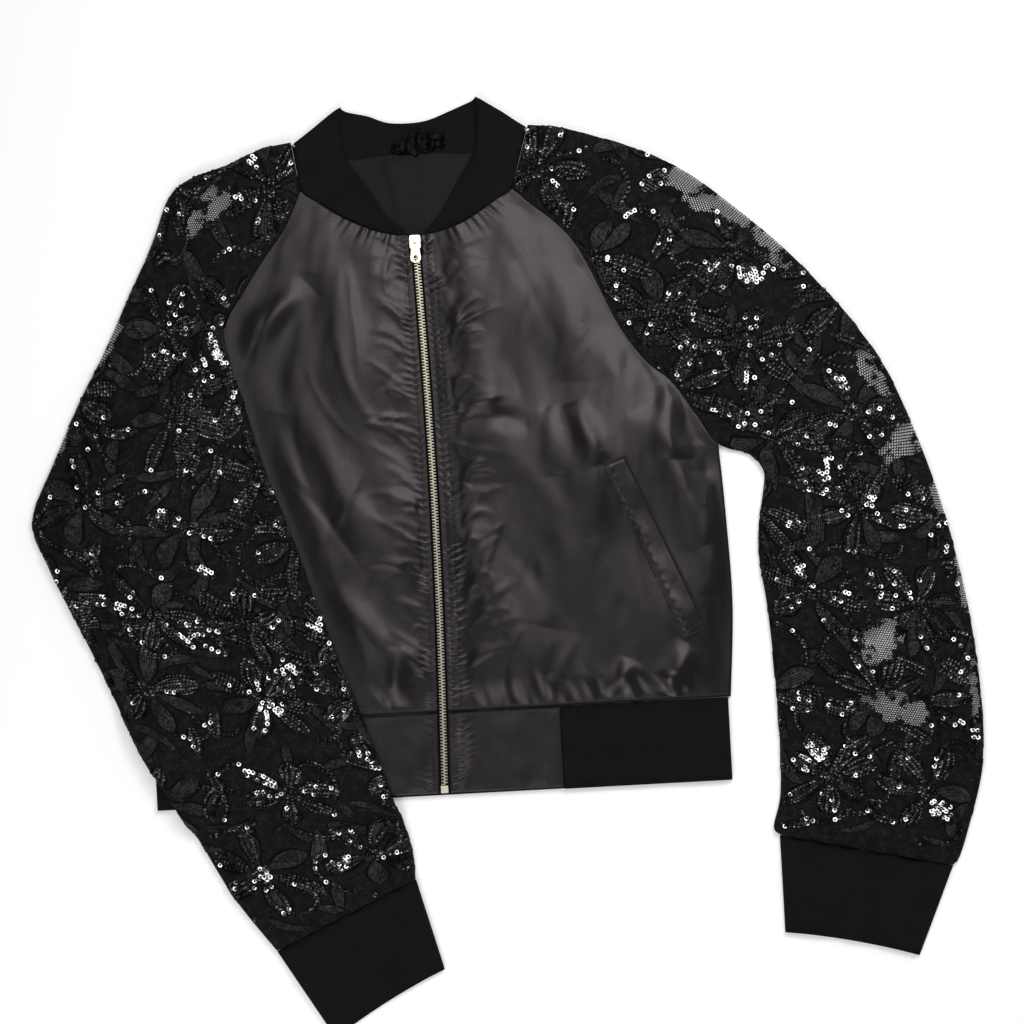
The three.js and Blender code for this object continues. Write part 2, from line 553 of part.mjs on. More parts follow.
// The collar band: front ends on top, turned at the sides of the neck, its back on the table
function collar() {
  const midTop = collarFrontTop - collarWall / 2;
  const midLow = collarWall / 2;
  const radius = (midTop - midLow) / 2;
  const inset = collarFrontTop / 2;
  const stations = [];
  const flat = (rows, z, up) => rows.forEach((row) => stations.push({ row, z, out: { x: 0, y: 0 }, up }));
  const turnRows = 5;
  const turnAt = (row, side, back) => {
    const length = Math.hypot(row.fx - row.sx, row.fy - row.sy);
    const out = { x: (side * (row.fy - row.sy)) / length, y: (-side * (row.fx - row.sx)) / length };
    const base = {
      sx: row.sx - out.x * inset,
      sy: row.sy - out.y * inset,
      fx: row.fx - out.x * inset,
      fy: row.fy - out.y * inset,
    };
    const made = [];
    for (let k = 0; k < turnRows; k++) {
      const angle = (Math.PI * k) / (turnRows - 1);
      const reach = radius * Math.sin(angle);
      const moved = {
        sx: base.sx + out.x * reach,
        sy: base.sy + out.y * reach,
        fx: base.fx + out.x * reach,
        fy: base.fy + out.y * reach,
      };
      const sin = Math.sin(angle);
      made.push({
        row: moved,
        z: midLow + radius + radius * Math.cos(angle),
        out: { x: out.x * sin, y: out.y * sin },
        up: Math.cos(angle),
      });
    }
    stations.push(...(back ? made.reverse() : made));
  };
  const left = denser(collarLeftRows, collarFrontSteps);
  const right = denser(collarRightRows, collarFrontSteps);
  flat(left.slice(0, -1 - collarFrontSteps / 2), midTop, 1);
  turnAt(left[left.length - 1], -1, false);
  flat(denser(collarBackRows, collarBackSteps).slice(1, -1), midLow, -1);
  turnAt(right[right.length - 1], 1, true);
  flat(right.slice(0, -1 - collarFrontSteps / 2).reverse(), midTop, 1);
  const across = 4;
  const outer = [];
  const inner = [];
  for (const { row, z, out, up } of stations) {
    const [outerRow, innerRow] = [[], []];
    for (let k = 0; k < across; k++) {
      const t = k / (across - 1);
      const [x, y] = [mix(row.sx, row.fx, t), mix(row.sy, row.fy, t)];
      const h = collarWall / 2;
      outerRow.push(new THREE.Vector3(x + out.x * h, y + out.y * h, z + up * h));
      innerRow.push(new THREE.Vector3(x - out.x * h, y - out.y * h, z - up * h));
    }
    outer.push(outerRow);
    inner.push(innerRow);
  }
  return wallBetween(outer, inner);
}

// The rib hem: from the right satin panel round the back to the left one
function hemRib() {
  const radius = frontTop / 2;
  const stations = [];
  const flatSteps = 6;
  const backSteps = 10;
  const foldSteps = 4;
  for (let k = 0; k < flatSteps; k++) {
    const x = mix(satinHemEnd + seamGap, hemSideX - radius, k / flatSteps);
    stations.push({ x, z: frontTop, outX: 0, outZ: 1 });
  }
  for (const side of [1, -1]) {
    for (let k = 0; k <= foldSteps; k++) {
      const angle = side > 0 ? Math.PI * (0.5 - k / foldSteps) : Math.PI * (k / foldSteps - 0.5);
      const [outX, outZ] = [side * Math.cos(angle), Math.sin(angle)];
      const x = side * (hemSideX - radius) + radius * outX;
      stations.push({ x, z: radius + radius * outZ, outX, outZ });
    }
    const steps = side > 0 ? backSteps : flatSteps;
    const from = side > 0 ? hemSideX - radius : radius - hemSideX;
    const to = side > 0 ? radius - hemSideX : -satinHemEnd - seamGap;
    const z = side > 0 ? 0 : frontTop;
    const last = side > 0 ? steps - 1 : steps;
    for (let k = 1; k <= last; k++) {
      stations.push({ x: mix(from, to, k / steps), z, outX: 0, outZ: side > 0 ? -1 : 1 });
    }
  }
  const rows = 4;
  const outer = [];
  const inner = [];
  for (const s of stations) {
    const [outerRow, innerRow] = [[], []];
    for (let k = 0; k < rows; k++) {
      const y = mix(hemBottomY, hemSeamY - seamGap, k / (rows - 1));
      outerRow.push(new THREE.Vector3(s.x, y, s.z));
      innerRow.push(new THREE.Vector3(s.x - s.outX * ribWall, y, s.z - s.outZ * ribWall));
    }
    outer.push(outerRow);
    inner.push(innerRow);
  }
  return wallBetween(outer, inner);
}

// Half of the gap that the fronts leave for the zip, wider round the slider
const zipGap = (y) => zipEdge + sliderClear * ease((y - (zipTopY - tabLength - 4)) / 8);

function frontPanel(side) {
  const edge = side > 0 ? rightEdge : leftEdge;
  const collarRows = denser(side > 0 ? collarRightRows : collarLeftRows, collarFrontSteps);
  const neckRows = collarRows.slice(0, neckRow * collarFrontSteps + 1);
  const top = neckRows.map((row) => ({ x: row.sx, y: row.sy - seamGap }));
  top[0].x = zipX(zipTopY) + side * zipGap(zipTopY);
  top[top.length - 1] = edge[edge.length - 1];
  const lowX = zipX(hemSeamY) + side * zipEdge;
  const low = top.map((p, i) => ({ x: mix(lowX, edge[0].x, i / (top.length - 1)), y: hemSeamY }));
  const highY = top[0].y;
  let run = 0;
  const along = edge.map((p, j) => {
    run += j ? Math.hypot(p.x - edge[j - 1].x, p.y - edge[j - 1].y) : 0;
    return run;
  });
  const zipSide = along.map((d) => {
    const y = mix(hemSeamY, highY, d / run);
    return { x: zipX(y) + side * zipGap(y), y };
  });
  return layer(fillPlan(low, top, zipSide, edge), bodyTop, satinWall);
}

// The back's edges run on past the raglan seams, beside the sleeves, up to the collar
function backPanel() {
  const neckSide = (sections, inward) => [0.35, 0.7, 0.96].map((share) => {
    const p = sectionPlace(sections[0], share, 0);
    return { x: p.x + inward * seamGap, y: p.y };
  });
  const left = [...leftEdge, ...neckSide(leftSections, 1)];
  const right = [...rightEdge, ...neckSide(rightSections, -1)];
  const neck = backNeck();
  neck[0] = left[left.length - 1];
  neck[neck.length - 1] = right[right.length - 1];
  const low = neck.map((p, i) => ({ x: mix(left[0].x, right[0].x, i / (neck.length - 1)), y: hemSeamY }));
  return layer(fillPlan(low, neck, left, right), () => satinWall, satinWall);
}

// The seam between the back and the collar, seen from the panel's side of it
function backNeck() {
  return denser(collarBackRows, collarBackSteps).map((row) => ({
    x: row.sx,
    y: row.sy - seamGap - 0.3 - 2 * ease((Math.abs(row.sx) - 60) / 20),
  }));
}

function neckLining() {
  const top = backNeck().slice(1, -1);
  const depth = 92;
  const low = top.map((p) => ({ x: p.x * 0.86, y: top[0].y - depth }));
  const steps = 5;
  const side = (i) => Array.from({ length: steps }, (_, k) => ({
    x: mix(low[i].x, top[i].x, k / (steps - 1)),
    y: mix(low[i].y, top[i].y, k / (steps - 1)),
  }));
  return layer(fillPlan(low, top, side(0), side(top.length - 1)), () => liningTop, liningWall);
}

// The blank tab at the back of the neck, lying crumpled on the collar
function neckTab() {
  const size = { left: -15, right: 29, low: 521, high: 540, wall: 1 };
  const cols = 12;
  const rows = 4;
  const plan = Array.from({ length: rows }, (_, j) => Array.from({ length: cols }, (__, i) => ({
    x: mix(size.left, size.right, i / (cols - 1)),
    y: mix(size.low, size.high, j / (rows - 1)) + 1.6 * Math.sin(i * 1.3),
  })));
  const middle = liningTop + liftGap + size.wall + 0.7;
  const top = (x, y) => middle + 0.7 * Math.sin(x * 0.42) * Math.cos(y * 0.2);
  return layer(plan, top, size.wall);
}

function welt(side) {
  const cols = 3;
  const rows = 9;
  const [low, high] = weltRows;
  const plan = Array.from({ length: rows }, (_, j) => Array.from({ length: cols }, (__, i) => {
    const [t, s] = [j / (rows - 1), i / (cols - 1)];
    const at = (from, to) => mix(mix(low[from], low[to], s), mix(high[from], high[to], s), t);
    return { x: side * at('inX', 'outX'), y: at('inY', 'outY') };
  }));
  const around = [[0, 0], [10, 0], [-10, 0], [0, 10], [0, -10]];
  const highest = (x, y) => Math.max(...around.map(([dx, dy]) => bodyTop(x + dx, y + dy)));
  return layer(plan, (x, y) => highest(x, y) + liftGap + weltWall, weltWall);
}

function satinHem(side) {
  const cols = 5;
  const rows = 5;
  const plan = Array.from({ length: rows }, (_, j) => Array.from({ length: cols }, (__, i) => {
    const y = mix(hemBottomY + 1.5, hemSeamY - seamGap, j / (rows - 1));
    return { x: mix(zipX(Math.max(0, y)) + side * zipEdge, side * satinHemEnd, i / (cols - 1)), y };
  }));
  return layer(plan, () => frontTop, satinWall);
}

// A straight-sided strip along the zip's bow, between two distances from its middle
function zipStrip(from, to, lowY, highY, top, thick) {
  const steps = 12;
  const plan = Array.from({ length: steps + 1 }, (_, k) => {
    const y = mix(lowY, highY, k / steps);
    return [from, to].map((d) => ({ x: zipX(Math.max(0, y)) + d, y }));
  });
  return layer(plan, () => top, thick);
}

// An outline in x and y given a thickness in z
function plate(shape, thick) {
  return new THREE.ExtrudeGeometry(shape, { depth: thick, bevelEnabled: false, curveSegments: 5 });
}

addPiece('back_panel', backPanel(), satin);
addPiece('lining_back_neck', neckLining(), lining);
addPiece('front_left', frontPanel(-1), satin);
addPiece('front_right', frontPanel(1), satin);
addPiece('sleeve_left', sleeve(leftSections, bodyLift), net);
addPiece('sleeve_right', sleeve(rightSections, () => 0), net);
addPiece('collar_rib', collar(), rib);
addPiece('cuff_left', cuff(leftSections[leftSections.length - 1], leftCuffEnd), rib);
addPiece('cuff_right', cuff(rightSections[rightSections.length - 1], rightCuffEnd), rib);
addPiece('hem_rib', hemRib(), rib);
addPiece('hem_satin_left', satinHem(-1), satin);
addPiece('hem_satin_right', satinHem(1), satin);
addPiece('welt_left', welt(-1), satin);
addPiece('welt_right', welt(1), satin);
addPiece('neck_tab', neckTab(), tape);

const zipFootY = -1;
const tapeHalfGap = 0.15;
const tapeHighY = zipTopY + 0.6;
const leftTape = zipStrip(-tapeWidth, -tapeHalfGap, zipFootY, tapeHighY, tapeTop, tapeWall);
const rightTape = zipStrip(tapeHalfGap, tapeWidth, zipFootY, tapeHighY, tapeTop, tapeWall);
addPiece('zip_tape_left', leftTape, tape);
addPiece('zip_tape_right', rightTape, tape);

const chainTop = tapeTop + liftGap + chainThick;
const half = chainWidth / 2;
const chainFootY = zipFootY + boxLength + liftGap;
addPiece('zip_chain', zipStrip(-half, half, chainFootY, zipTopY - 1.5, chainTop, chainThick), metal);
const boxThick = chainThick + 0.4;
const box = addPiece('zip_box', new THREE.BoxGeometry(boxWidth, boxLength, boxThick), metal);
box.position.set(0, zipFootY + boxLength / 2, tapeTop + liftGap + boxThick / 2);

// Slider: a plate with turned-down sides, round at the top, and a bridge that holds the tab's bar
const sliderMidY = zipTopY - sliderLength / 2;
const sliderLow = tapeTop + liftGap;
const plateLow = chainTop + liftGap;
const plateTop = plateLow + plateThick;
const bridge = { width: 1.8, hollow: 2.8, thick: 1.1 };
const pivotY = sliderMidY + 0.5;
const pivotZ = plateTop + bridge.hollow / 2;

function sliderShape() {
  const shape = new THREE.Shape();
  const flangeIn = chainWidth / 2 + liftGap;
  const edge = sliderWidth / 2;
  shape.moveTo(-edge, sliderLow);
  shape.lineTo(-flangeIn, sliderLow);
  shape.lineTo(-flangeIn, plateLow);
  shape.lineTo(flangeIn, plateLow);
  shape.lineTo(flangeIn, sliderLow);
  shape.lineTo(edge, sliderLow);
  shape.lineTo(edge, plateTop - 0.8);
  shape.lineTo(edge - 0.8, plateTop);
  shape.lineTo(-edge + 0.8, plateTop);
  shape.lineTo(-edge, plateTop - 0.8);
  return shape;
}

// The slider seen from above: it widens towards its rounded top
function sliderOutline() {
  const shape = new THREE.Shape();
  const [low, high] = [-sliderLength / 2, sliderLength / 2];
  const [lowHalf, topHalf, edge] = [4.3, 2.2, sliderWidth / 2];
  shape.moveTo(-lowHalf, low);
  shape.lineTo(lowHalf, low);
  shape.lineTo(edge, high - 4);
  shape.quadraticCurveTo(edge, high, topHalf, high);
  shape.lineTo(-topHalf, high);
  shape.quadraticCurveTo(-edge, high, -edge, high - 4);
  return shape;
}

function bridgeShape() {
  const shape = new THREE.Shape();
  const outer = bridge.hollow / 2 + bridge.thick;
  const sunk = 0.4;
  shape.moveTo(-outer, -sunk);
  shape.lineTo(-bridge.hollow / 2, -sunk);
  shape.lineTo(-bridge.hollow / 2, bridge.hollow);
  shape.lineTo(bridge.hollow / 2, bridge.hollow);
  shape.lineTo(bridge.hollow / 2, -sunk);
  shape.lineTo(outer, -sunk);
  shape.lineTo(outer, bridge.hollow + 0.3);
  shape.lineTo(outer - 0.8, bridge.hollow + bridge.thick);
  shape.lineTo(-outer + 0.8, bridge.hollow + bridge.thick);
  shape.lineTo(-outer, bridge.hollow + 0.3);
  return shape;
}

function toManifold(wasm, geometry) {
  const bare = geometry.clone();
  bare.deleteAttribute('normal');
  bare.deleteAttribute('uv');
  const merged = mergeVertices(bare, 1e-3);
  return new wasm.Manifold(new wasm.Mesh({
    numProp: 3,
    vertProperties: Float32Array.from(merged.attributes.position.array),
    triVerts: Uint32Array.from(merged.index.array),
  }));
}

function fromManifold(solid) {
  const mesh = solid.getMesh();
  const geometry = new THREE.BufferGeometry();
  geometry.setAttribute('position', new THREE.Float32BufferAttribute(Array.from(mesh.vertProperties), 3));
  geometry.setIndex(Array.from(mesh.triVerts));
  geometry.computeVertexNormals();
  return geometry;
}

const sliderBody = plate(sliderShape(), sliderLength);
sliderBody.rotateX(Math.PI / 2);
sliderBody.translate(0, sliderMidY + sliderLength / 2, 0);
const bridgeBody = plate(bridgeShape(), bridge.width);
bridgeBody.rotateX(Math.PI / 2);
bridgeBody.rotateZ(Math.PI / 2);
bridgeBody.translate(-bridge.width / 2, pivotY, plateTop);
const outlineBody = plate(sliderOutline(), 2 * plateTop);
outlineBody.translate(0, sliderMidY, 0);
const sliderSolid = toManifold(wasm, sliderBody)
  .intersect(toManifold(wasm, outlineBody))
  .add(toManifold(wasm, bridgeBody));
addPiece('zip_slider', fromManifold(sliderSolid), metal);

// Pull tab: waisted, with a window that clears the bridge and an oval hole near its end
function tabShape() {
  const shape = new THREE.Shape();
  const top = { width: 8, above: 0.7 };
  const waist = { width: 7, at: -7.5 };
  const low = { width: 8.6, at: -13.6 };
  shape.moveTo(-top.width / 2, top.above);
  shape.lineTo(-waist.width / 2, waist.at);
  shape.lineTo(-low.width / 2, low.at);
  shape.quadraticCurveTo(-low.width / 2, -tabLength, 0, -tabLength);
  shape.quadraticCurveTo(low.width / 2, -tabLength, low.width / 2, low.at);
  shape.lineTo(waist.width / 2, waist.at);
  shape.lineTo(top.width / 2, top.above);
  const window = new THREE.Path();
  const clear = bridge.width / 2 + 0.5;
  window.moveTo(-clear, -0.7);
  window.lineTo(-clear, -5.2);
  window.lineTo(clear, -5.2);
  window.lineTo(clear, -0.7);
  const hole = new THREE.Path();
  hole.absellipse(0, -14, 1.9, 2.6, 0, 2 * Math.PI, true);
  shape.holes.push(window, hole);
  return shape;
}

const tab = addPiece('zip_pull_tab', plate(tabShape(), tabThick), metal);
tab.position.set(0, pivotY, pivotZ - tabThick / 2);

// The origin goes to the middle of the underside of the whole garment
const bounds = new THREE.Box3().setFromObject(jacket);
const middle = bounds.getCenter(new THREE.Vector3());
jacket.position.set(-middle.x, -middle.y, -bounds.min.z);

export default jacket;
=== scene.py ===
import json
from math import cos, pi, radians, sin

import bpy
import numpy as np
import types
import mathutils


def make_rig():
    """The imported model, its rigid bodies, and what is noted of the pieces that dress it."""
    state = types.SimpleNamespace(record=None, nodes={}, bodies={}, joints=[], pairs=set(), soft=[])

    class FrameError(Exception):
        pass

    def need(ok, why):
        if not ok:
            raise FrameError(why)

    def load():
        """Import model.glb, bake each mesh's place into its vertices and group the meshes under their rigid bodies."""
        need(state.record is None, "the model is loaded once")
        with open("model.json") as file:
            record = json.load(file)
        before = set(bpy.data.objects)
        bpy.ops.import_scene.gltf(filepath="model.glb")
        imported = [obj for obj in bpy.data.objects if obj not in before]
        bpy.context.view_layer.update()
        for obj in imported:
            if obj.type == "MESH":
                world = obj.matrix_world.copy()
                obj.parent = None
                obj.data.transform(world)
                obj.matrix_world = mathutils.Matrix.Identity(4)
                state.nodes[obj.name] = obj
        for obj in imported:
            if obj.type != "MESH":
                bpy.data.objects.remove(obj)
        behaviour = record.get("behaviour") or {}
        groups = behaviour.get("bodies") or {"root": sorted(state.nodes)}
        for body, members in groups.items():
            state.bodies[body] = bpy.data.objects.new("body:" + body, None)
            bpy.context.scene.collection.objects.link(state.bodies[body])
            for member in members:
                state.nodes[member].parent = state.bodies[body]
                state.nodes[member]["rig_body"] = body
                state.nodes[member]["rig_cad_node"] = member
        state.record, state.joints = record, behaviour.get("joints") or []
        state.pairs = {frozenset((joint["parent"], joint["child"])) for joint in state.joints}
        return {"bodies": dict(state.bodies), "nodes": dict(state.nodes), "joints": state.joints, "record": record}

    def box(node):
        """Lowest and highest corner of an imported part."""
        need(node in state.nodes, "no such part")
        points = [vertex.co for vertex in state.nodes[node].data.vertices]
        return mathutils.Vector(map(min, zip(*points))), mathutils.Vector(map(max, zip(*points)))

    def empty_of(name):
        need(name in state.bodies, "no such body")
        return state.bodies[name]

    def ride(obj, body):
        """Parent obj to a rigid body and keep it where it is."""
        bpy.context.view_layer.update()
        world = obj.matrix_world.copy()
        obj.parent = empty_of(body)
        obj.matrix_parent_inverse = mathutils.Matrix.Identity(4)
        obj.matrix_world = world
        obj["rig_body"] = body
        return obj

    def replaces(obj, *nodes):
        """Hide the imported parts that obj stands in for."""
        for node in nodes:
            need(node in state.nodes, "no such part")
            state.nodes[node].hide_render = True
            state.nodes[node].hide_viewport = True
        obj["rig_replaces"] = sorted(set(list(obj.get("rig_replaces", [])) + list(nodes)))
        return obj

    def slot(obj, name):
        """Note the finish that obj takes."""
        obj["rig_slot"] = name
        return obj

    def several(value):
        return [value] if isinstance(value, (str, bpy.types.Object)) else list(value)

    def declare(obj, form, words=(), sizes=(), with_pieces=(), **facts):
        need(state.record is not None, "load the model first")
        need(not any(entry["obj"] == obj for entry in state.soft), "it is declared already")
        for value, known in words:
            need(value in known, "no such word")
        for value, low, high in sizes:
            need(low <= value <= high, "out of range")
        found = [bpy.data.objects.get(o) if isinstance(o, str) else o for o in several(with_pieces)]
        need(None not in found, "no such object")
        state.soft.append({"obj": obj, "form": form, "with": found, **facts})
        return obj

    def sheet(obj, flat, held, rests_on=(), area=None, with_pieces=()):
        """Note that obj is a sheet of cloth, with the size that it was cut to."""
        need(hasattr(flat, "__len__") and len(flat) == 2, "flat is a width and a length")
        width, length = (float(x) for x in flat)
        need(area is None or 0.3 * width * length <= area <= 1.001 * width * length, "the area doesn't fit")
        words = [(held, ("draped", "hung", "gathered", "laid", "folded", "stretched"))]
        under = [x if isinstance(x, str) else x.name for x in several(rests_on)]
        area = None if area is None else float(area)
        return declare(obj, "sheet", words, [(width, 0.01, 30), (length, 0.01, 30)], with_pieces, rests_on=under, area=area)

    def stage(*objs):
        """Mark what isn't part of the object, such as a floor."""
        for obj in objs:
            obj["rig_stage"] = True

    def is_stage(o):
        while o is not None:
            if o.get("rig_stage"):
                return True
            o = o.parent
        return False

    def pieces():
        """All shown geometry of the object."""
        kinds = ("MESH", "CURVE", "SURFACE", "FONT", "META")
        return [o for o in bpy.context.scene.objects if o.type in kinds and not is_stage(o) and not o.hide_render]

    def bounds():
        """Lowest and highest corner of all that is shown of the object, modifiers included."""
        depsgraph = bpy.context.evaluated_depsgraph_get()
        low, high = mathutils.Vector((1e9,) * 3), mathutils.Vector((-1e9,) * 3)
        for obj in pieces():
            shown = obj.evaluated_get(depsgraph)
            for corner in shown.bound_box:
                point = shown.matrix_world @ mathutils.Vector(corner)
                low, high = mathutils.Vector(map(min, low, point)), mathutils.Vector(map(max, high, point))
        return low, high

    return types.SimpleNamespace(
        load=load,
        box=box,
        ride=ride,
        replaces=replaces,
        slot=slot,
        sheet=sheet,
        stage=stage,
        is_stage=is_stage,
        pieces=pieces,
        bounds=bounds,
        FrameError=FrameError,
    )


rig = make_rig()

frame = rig.load()
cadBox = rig.bounds()

# Shapes are in millimetres from the foot of the zip, and place() puts them in the frame
footLow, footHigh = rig.box("zip_box")
origin = np.array([(footLow[0] + footHigh[0]) / 2, footLow[1] + 0.001, 0])


def place(points):
    return origin + np.asarray(points, float) / 1000


# The camera looks straight down, turned a little
view = {"middle": (67.25, 225.47), "width": 839.7, "turn": -3.105, "height": 2400}
cameraData = bpy.data.cameras.new("camera")
cameraData.lens = cameraData.sensor_width * view["height"] / view["width"]
camera = bpy.data.objects.new("camera", cameraData)
camera.location = place([*view["middle"], view["height"]])
camera.rotation_euler = (0, 0, radians(view["turn"]))
bpy.context.scene.collection.objects.link(camera)
bpy.context.scene.camera = camera

# Light: a small box at the upper right, a broad one above, a low one far to the right, a broad
# fill from the lower left and a pale sky. Each lamp faces the floor below the camera
lamps = {
    "key": {"at": (620, 900, 1250), "size": 0.5, "power": 8.4},
    "top": {"at": (60, 800, 1700), "size": 1.0, "power": 9},
    "side": {"at": (1450, 1150, 620), "size": 0.7, "power": 4},
    "fill": {"at": (-330, -1100, 1250), "size": 1.0, "power": 15},
}
sky = {"colour": (0.93, 0.95, 1), "strength": 0.2}
scene = bpy.context.scene
scene.view_settings.view_transform = "Standard"
scene.world = bpy.data.worlds.new("sky")
scene.world.use_nodes = True
background = scene.world.node_tree.nodes["Background"]
background.inputs["Color"].default_value = (*sky["colour"], 1)
background.inputs["Strength"].default_value = sky["strength"]
for name, lamp in lamps.items():
    light = bpy.data.lights.new(name, "AREA")
    light.size = lamp["size"]
    light.energy = lamp["power"]
    holder = bpy.data.objects.new(name, light)
    holder.location = place(lamp["at"])
    fromMiddle = holder.location - camera.location
    fromMiddle.z = holder.location.z
    holder.rotation_euler = fromMiddle.to_track_quat("Z", "Y").to_euler()
    scene.collection.objects.link(holder)
print("camera and light")


# Small helpers
def mix(a, b, t):
    return a + (b - a) * t


def ease(t):
    t = np.clip(t, 0, 1)
    return t * t * (3 - 2 * t)


def bell(d, width):
    return np.exp(-((d / width) ** 2))


# 0 at both ends of a run of shares and 1 between them
def rimOf(t, pace):
    return ease(np.minimum(t, 1 - t) * pace)


def shares(count):
    return np.linspace(0, 1, count)


# Coordinates or other values side by side in a last axis
def packed(*parts):
    return np.stack(np.broadcast_arrays(*parts), -1)


def unitOf(ways, small=0.0):
    return ways / (np.linalg.norm(ways, axis=-1, keepdims=True) + small)


# Smooth noise from about -1 to 1: sines in random directions, at about one size
def wander(x, y, size, seed):
    random = np.random.default_rng(seed)
    total = 0
    for angle, phase, pace in random.uniform([0, 0, 0.6], [2 * pi, 2 * pi, 1.5], (8, 3)):
        total = total + np.sin((x * cos(angle) + y * sin(angle)) * 2 * pi * pace / size + phase)
    return total / 3.4


# Rows of a table with smooth steps between them; the even columns change evenly
def smoothRows(table, steps, even=()):
    rows = np.asarray(table, float)
    before, after = np.vstack([rows[:1], rows[:-2]]), np.vstack([rows[2:], rows[-1:]])
    p, q, r, s = (part[:, None] for part in (before, rows[:-1], rows[1:], after))
    t = np.arange(steps)[None, :, None] / steps
    curve = q + 0.5 * t * (r - p + t * (2 * p - 5 * q + 4 * r - s + t * (3 * (q - r) + s - p)))
    for column in even:
        curve[..., column] = mix(q, r, t)[..., column]
    return np.vstack([curve.reshape(-1, rows.shape[1]), rows[-1:]])


def runAlong(points):
    return np.append(0, np.cumsum(np.linalg.norm(np.diff(points, axis=0), axis=1)))


def rowsAt(where, run, rows):
    return np.stack([np.interp(where, run, column) for column in rows.T], -1)


def resample(points, spread):
    run = runAlong(points[:, :2])
    return rowsAt(spread * run[-1], run, points)


# A plan filled in between four edges: low and high run across, left and right run up
def fillPlan(low, high, left, right, across, up):
    s, t = across[None, :, None], up[:, None, None]
    bend = mix(low[None], high[None], t) + mix(left[:, None], right[:, None], s)
    return bend - mix(mix(low[0], low[-1], s), mix(high[0], high[-1], s), t)


def gridFaces(rows, cols, around=False):
    i, j = np.meshgrid(np.arange(rows - 1), np.arange(cols if around else cols - 1), indexing="ij")
    k = (j + 1) % cols
    corners = [i * cols + j, i * cols + k, (i + 1) * cols + k, (i + 1) * cols + j]
    return np.stack(corners, -1).reshape(-1, 4)


# Faces turned so that the upper ones of a closed or folded form look up
def outward(points, faces, sheet=False):
    a, b, c, d = (points[faces[:, k]] for k in range(4))
    lift = np.cross(c - a, d - b)[:, 2]
    height = 1 if sheet else a[:, 2] + c[:, 2] - 2 * points[:, 2].mean()
    return faces if (lift * height).sum() > 0 else faces[:, ::-1]


# A closed wall between two grids; around joins the last column to the first
def shell(outer, inner, around=False):
    rows, cols = outer.shape[:2]
    top = gridFaces(rows, cols, around)
    index = np.arange(rows * cols).reshape(rows, cols)
    loops = [index[0], index[-1, ::-1]]
    if not around:
        loops = [np.concatenate([index[0, :-1], index[:-1, -1], index[-1, :0:-1], index[:0:-1, 0]])]
    rims = []
    for loop in loops:
        ahead = np.roll(loop, -1)
        rims.append(np.stack([ahead, loop, loop + rows * cols, ahead + rows * cols], -1))
    points = np.concatenate([outer.reshape(-1, 3), inner.reshape(-1, 3)])
    faces = np.concatenate([top, top[:, ::-1] + rows * cols, *rims])
    return points, outward(points, faces)


# A sheet whose edges turn down by wall and back under it
def turnUnder(grid, wall, inset=3):
    made = np.pad(grid, ((2, 2), (2, 2), (0, 0)), mode="edge")
    made[0], made[-1] = made[2 + inset], made[-3 - inset]
    made[:, 0], made[:, -1] = made[:, 2 + inset], made[:, -3 - inset]
    down = np.zeros(made.shape[:2])
    down[:2] = down[-2:] = down[:, :2] = down[:, -2:] = 1
    made[..., 2] -= wall * down
    return made


def makePiece(name, points, faces, surface, slot, uv=None, **values):
    mesh = bpy.data.meshes.new(name)
    mesh.from_pydata(place(points), [], faces.tolist())
    mesh.shade_smooth()
    mesh.materials.append(surface)
    if uv is not None:
        corners = np.asarray(uv, float)[faces.reshape(-1)]
        mesh.uv_layers.new(name="UVMap").data.foreach_set("uv", corners.ravel())
    for key, value in values.items():
        mesh.attributes.new(key, "FLOAT", "POINT").data.foreach_set("value", value.ravel())
    piece = bpy.data.objects.new(name, mesh)
    scene.collection.objects.link(piece)
    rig.ride(piece, "garment")
    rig.slot(piece, slot)
    return piece


# A piece of cloth that stands for one solid
def clothPiece(name, node, points, faces, surface, slot, sheet, **values):
    piece = makePiece(name, points, faces, surface, slot, **values)
    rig.replaces(piece, node)
    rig.sheet(piece, **sheet)
    return piece


# Cloth with a closed wall below its upper grid
def wallPiece(name, node, upper, lower, surface, slot, sheet, **values):
    return clothPiece(name, node, *shell(upper, lower), surface, slot, sheet, **values)


# Many copies of one small shape, each in its own frame of three directions
def scatter(shape, faces, centres, frames):
    points = centres[:, None] + np.einsum("vk,nkc->nvc", shape, frames)
    step = np.arange(len(centres))[:, None, None] * len(shape)
    return points.reshape(-1, 3), (faces[None] + step).reshape(-1, faces.shape[1])


# Materials. A socket takes a link or a constant
def setSocket(tree, socket, value):
    if isinstance(value, bpy.types.NodeSocket):
        tree.links.new(value, socket)
    else:
        plain = socket.type == "RGBA" and len(value) == 3
        socket.default_value = (*value, 1) if plain else value


def addNode(tree, kind, values=None, **settings):
    made = tree.nodes.new(kind)
    for key, value in settings.items():
        setattr(made, key, value)
    for key, value in (values or {}).items():
        setSocket(tree, made.inputs[key], value)
    return made


def maths(tree, operation, *values):
    return addNode(tree, "ShaderNodeMath", dict(enumerate(values)), operation=operation).outputs[0]


def vectors(tree, operation, *values):
    made = addNode(tree, "ShaderNodeVectorMath", dict(enumerate(values)), operation=operation)
    return made.outputs["Value" if operation in ("LENGTH", "DOT_PRODUCT") else "Vector"]


def rangeOf(tree, value, low, high, first=0.0, last=1.0):
    values = {"Value": value, "From Min": low, "From Max": high, "To Min": first, "To Max": last}
    return addNode(tree, "ShaderNodeMapRange", values).outputs[0]


def blendColours(tree, share, first, second):
    values = {0: share, 6: first, 7: second}
    return addNode(tree, "ShaderNodeMix", values, data_type="RGBA").outputs[2]


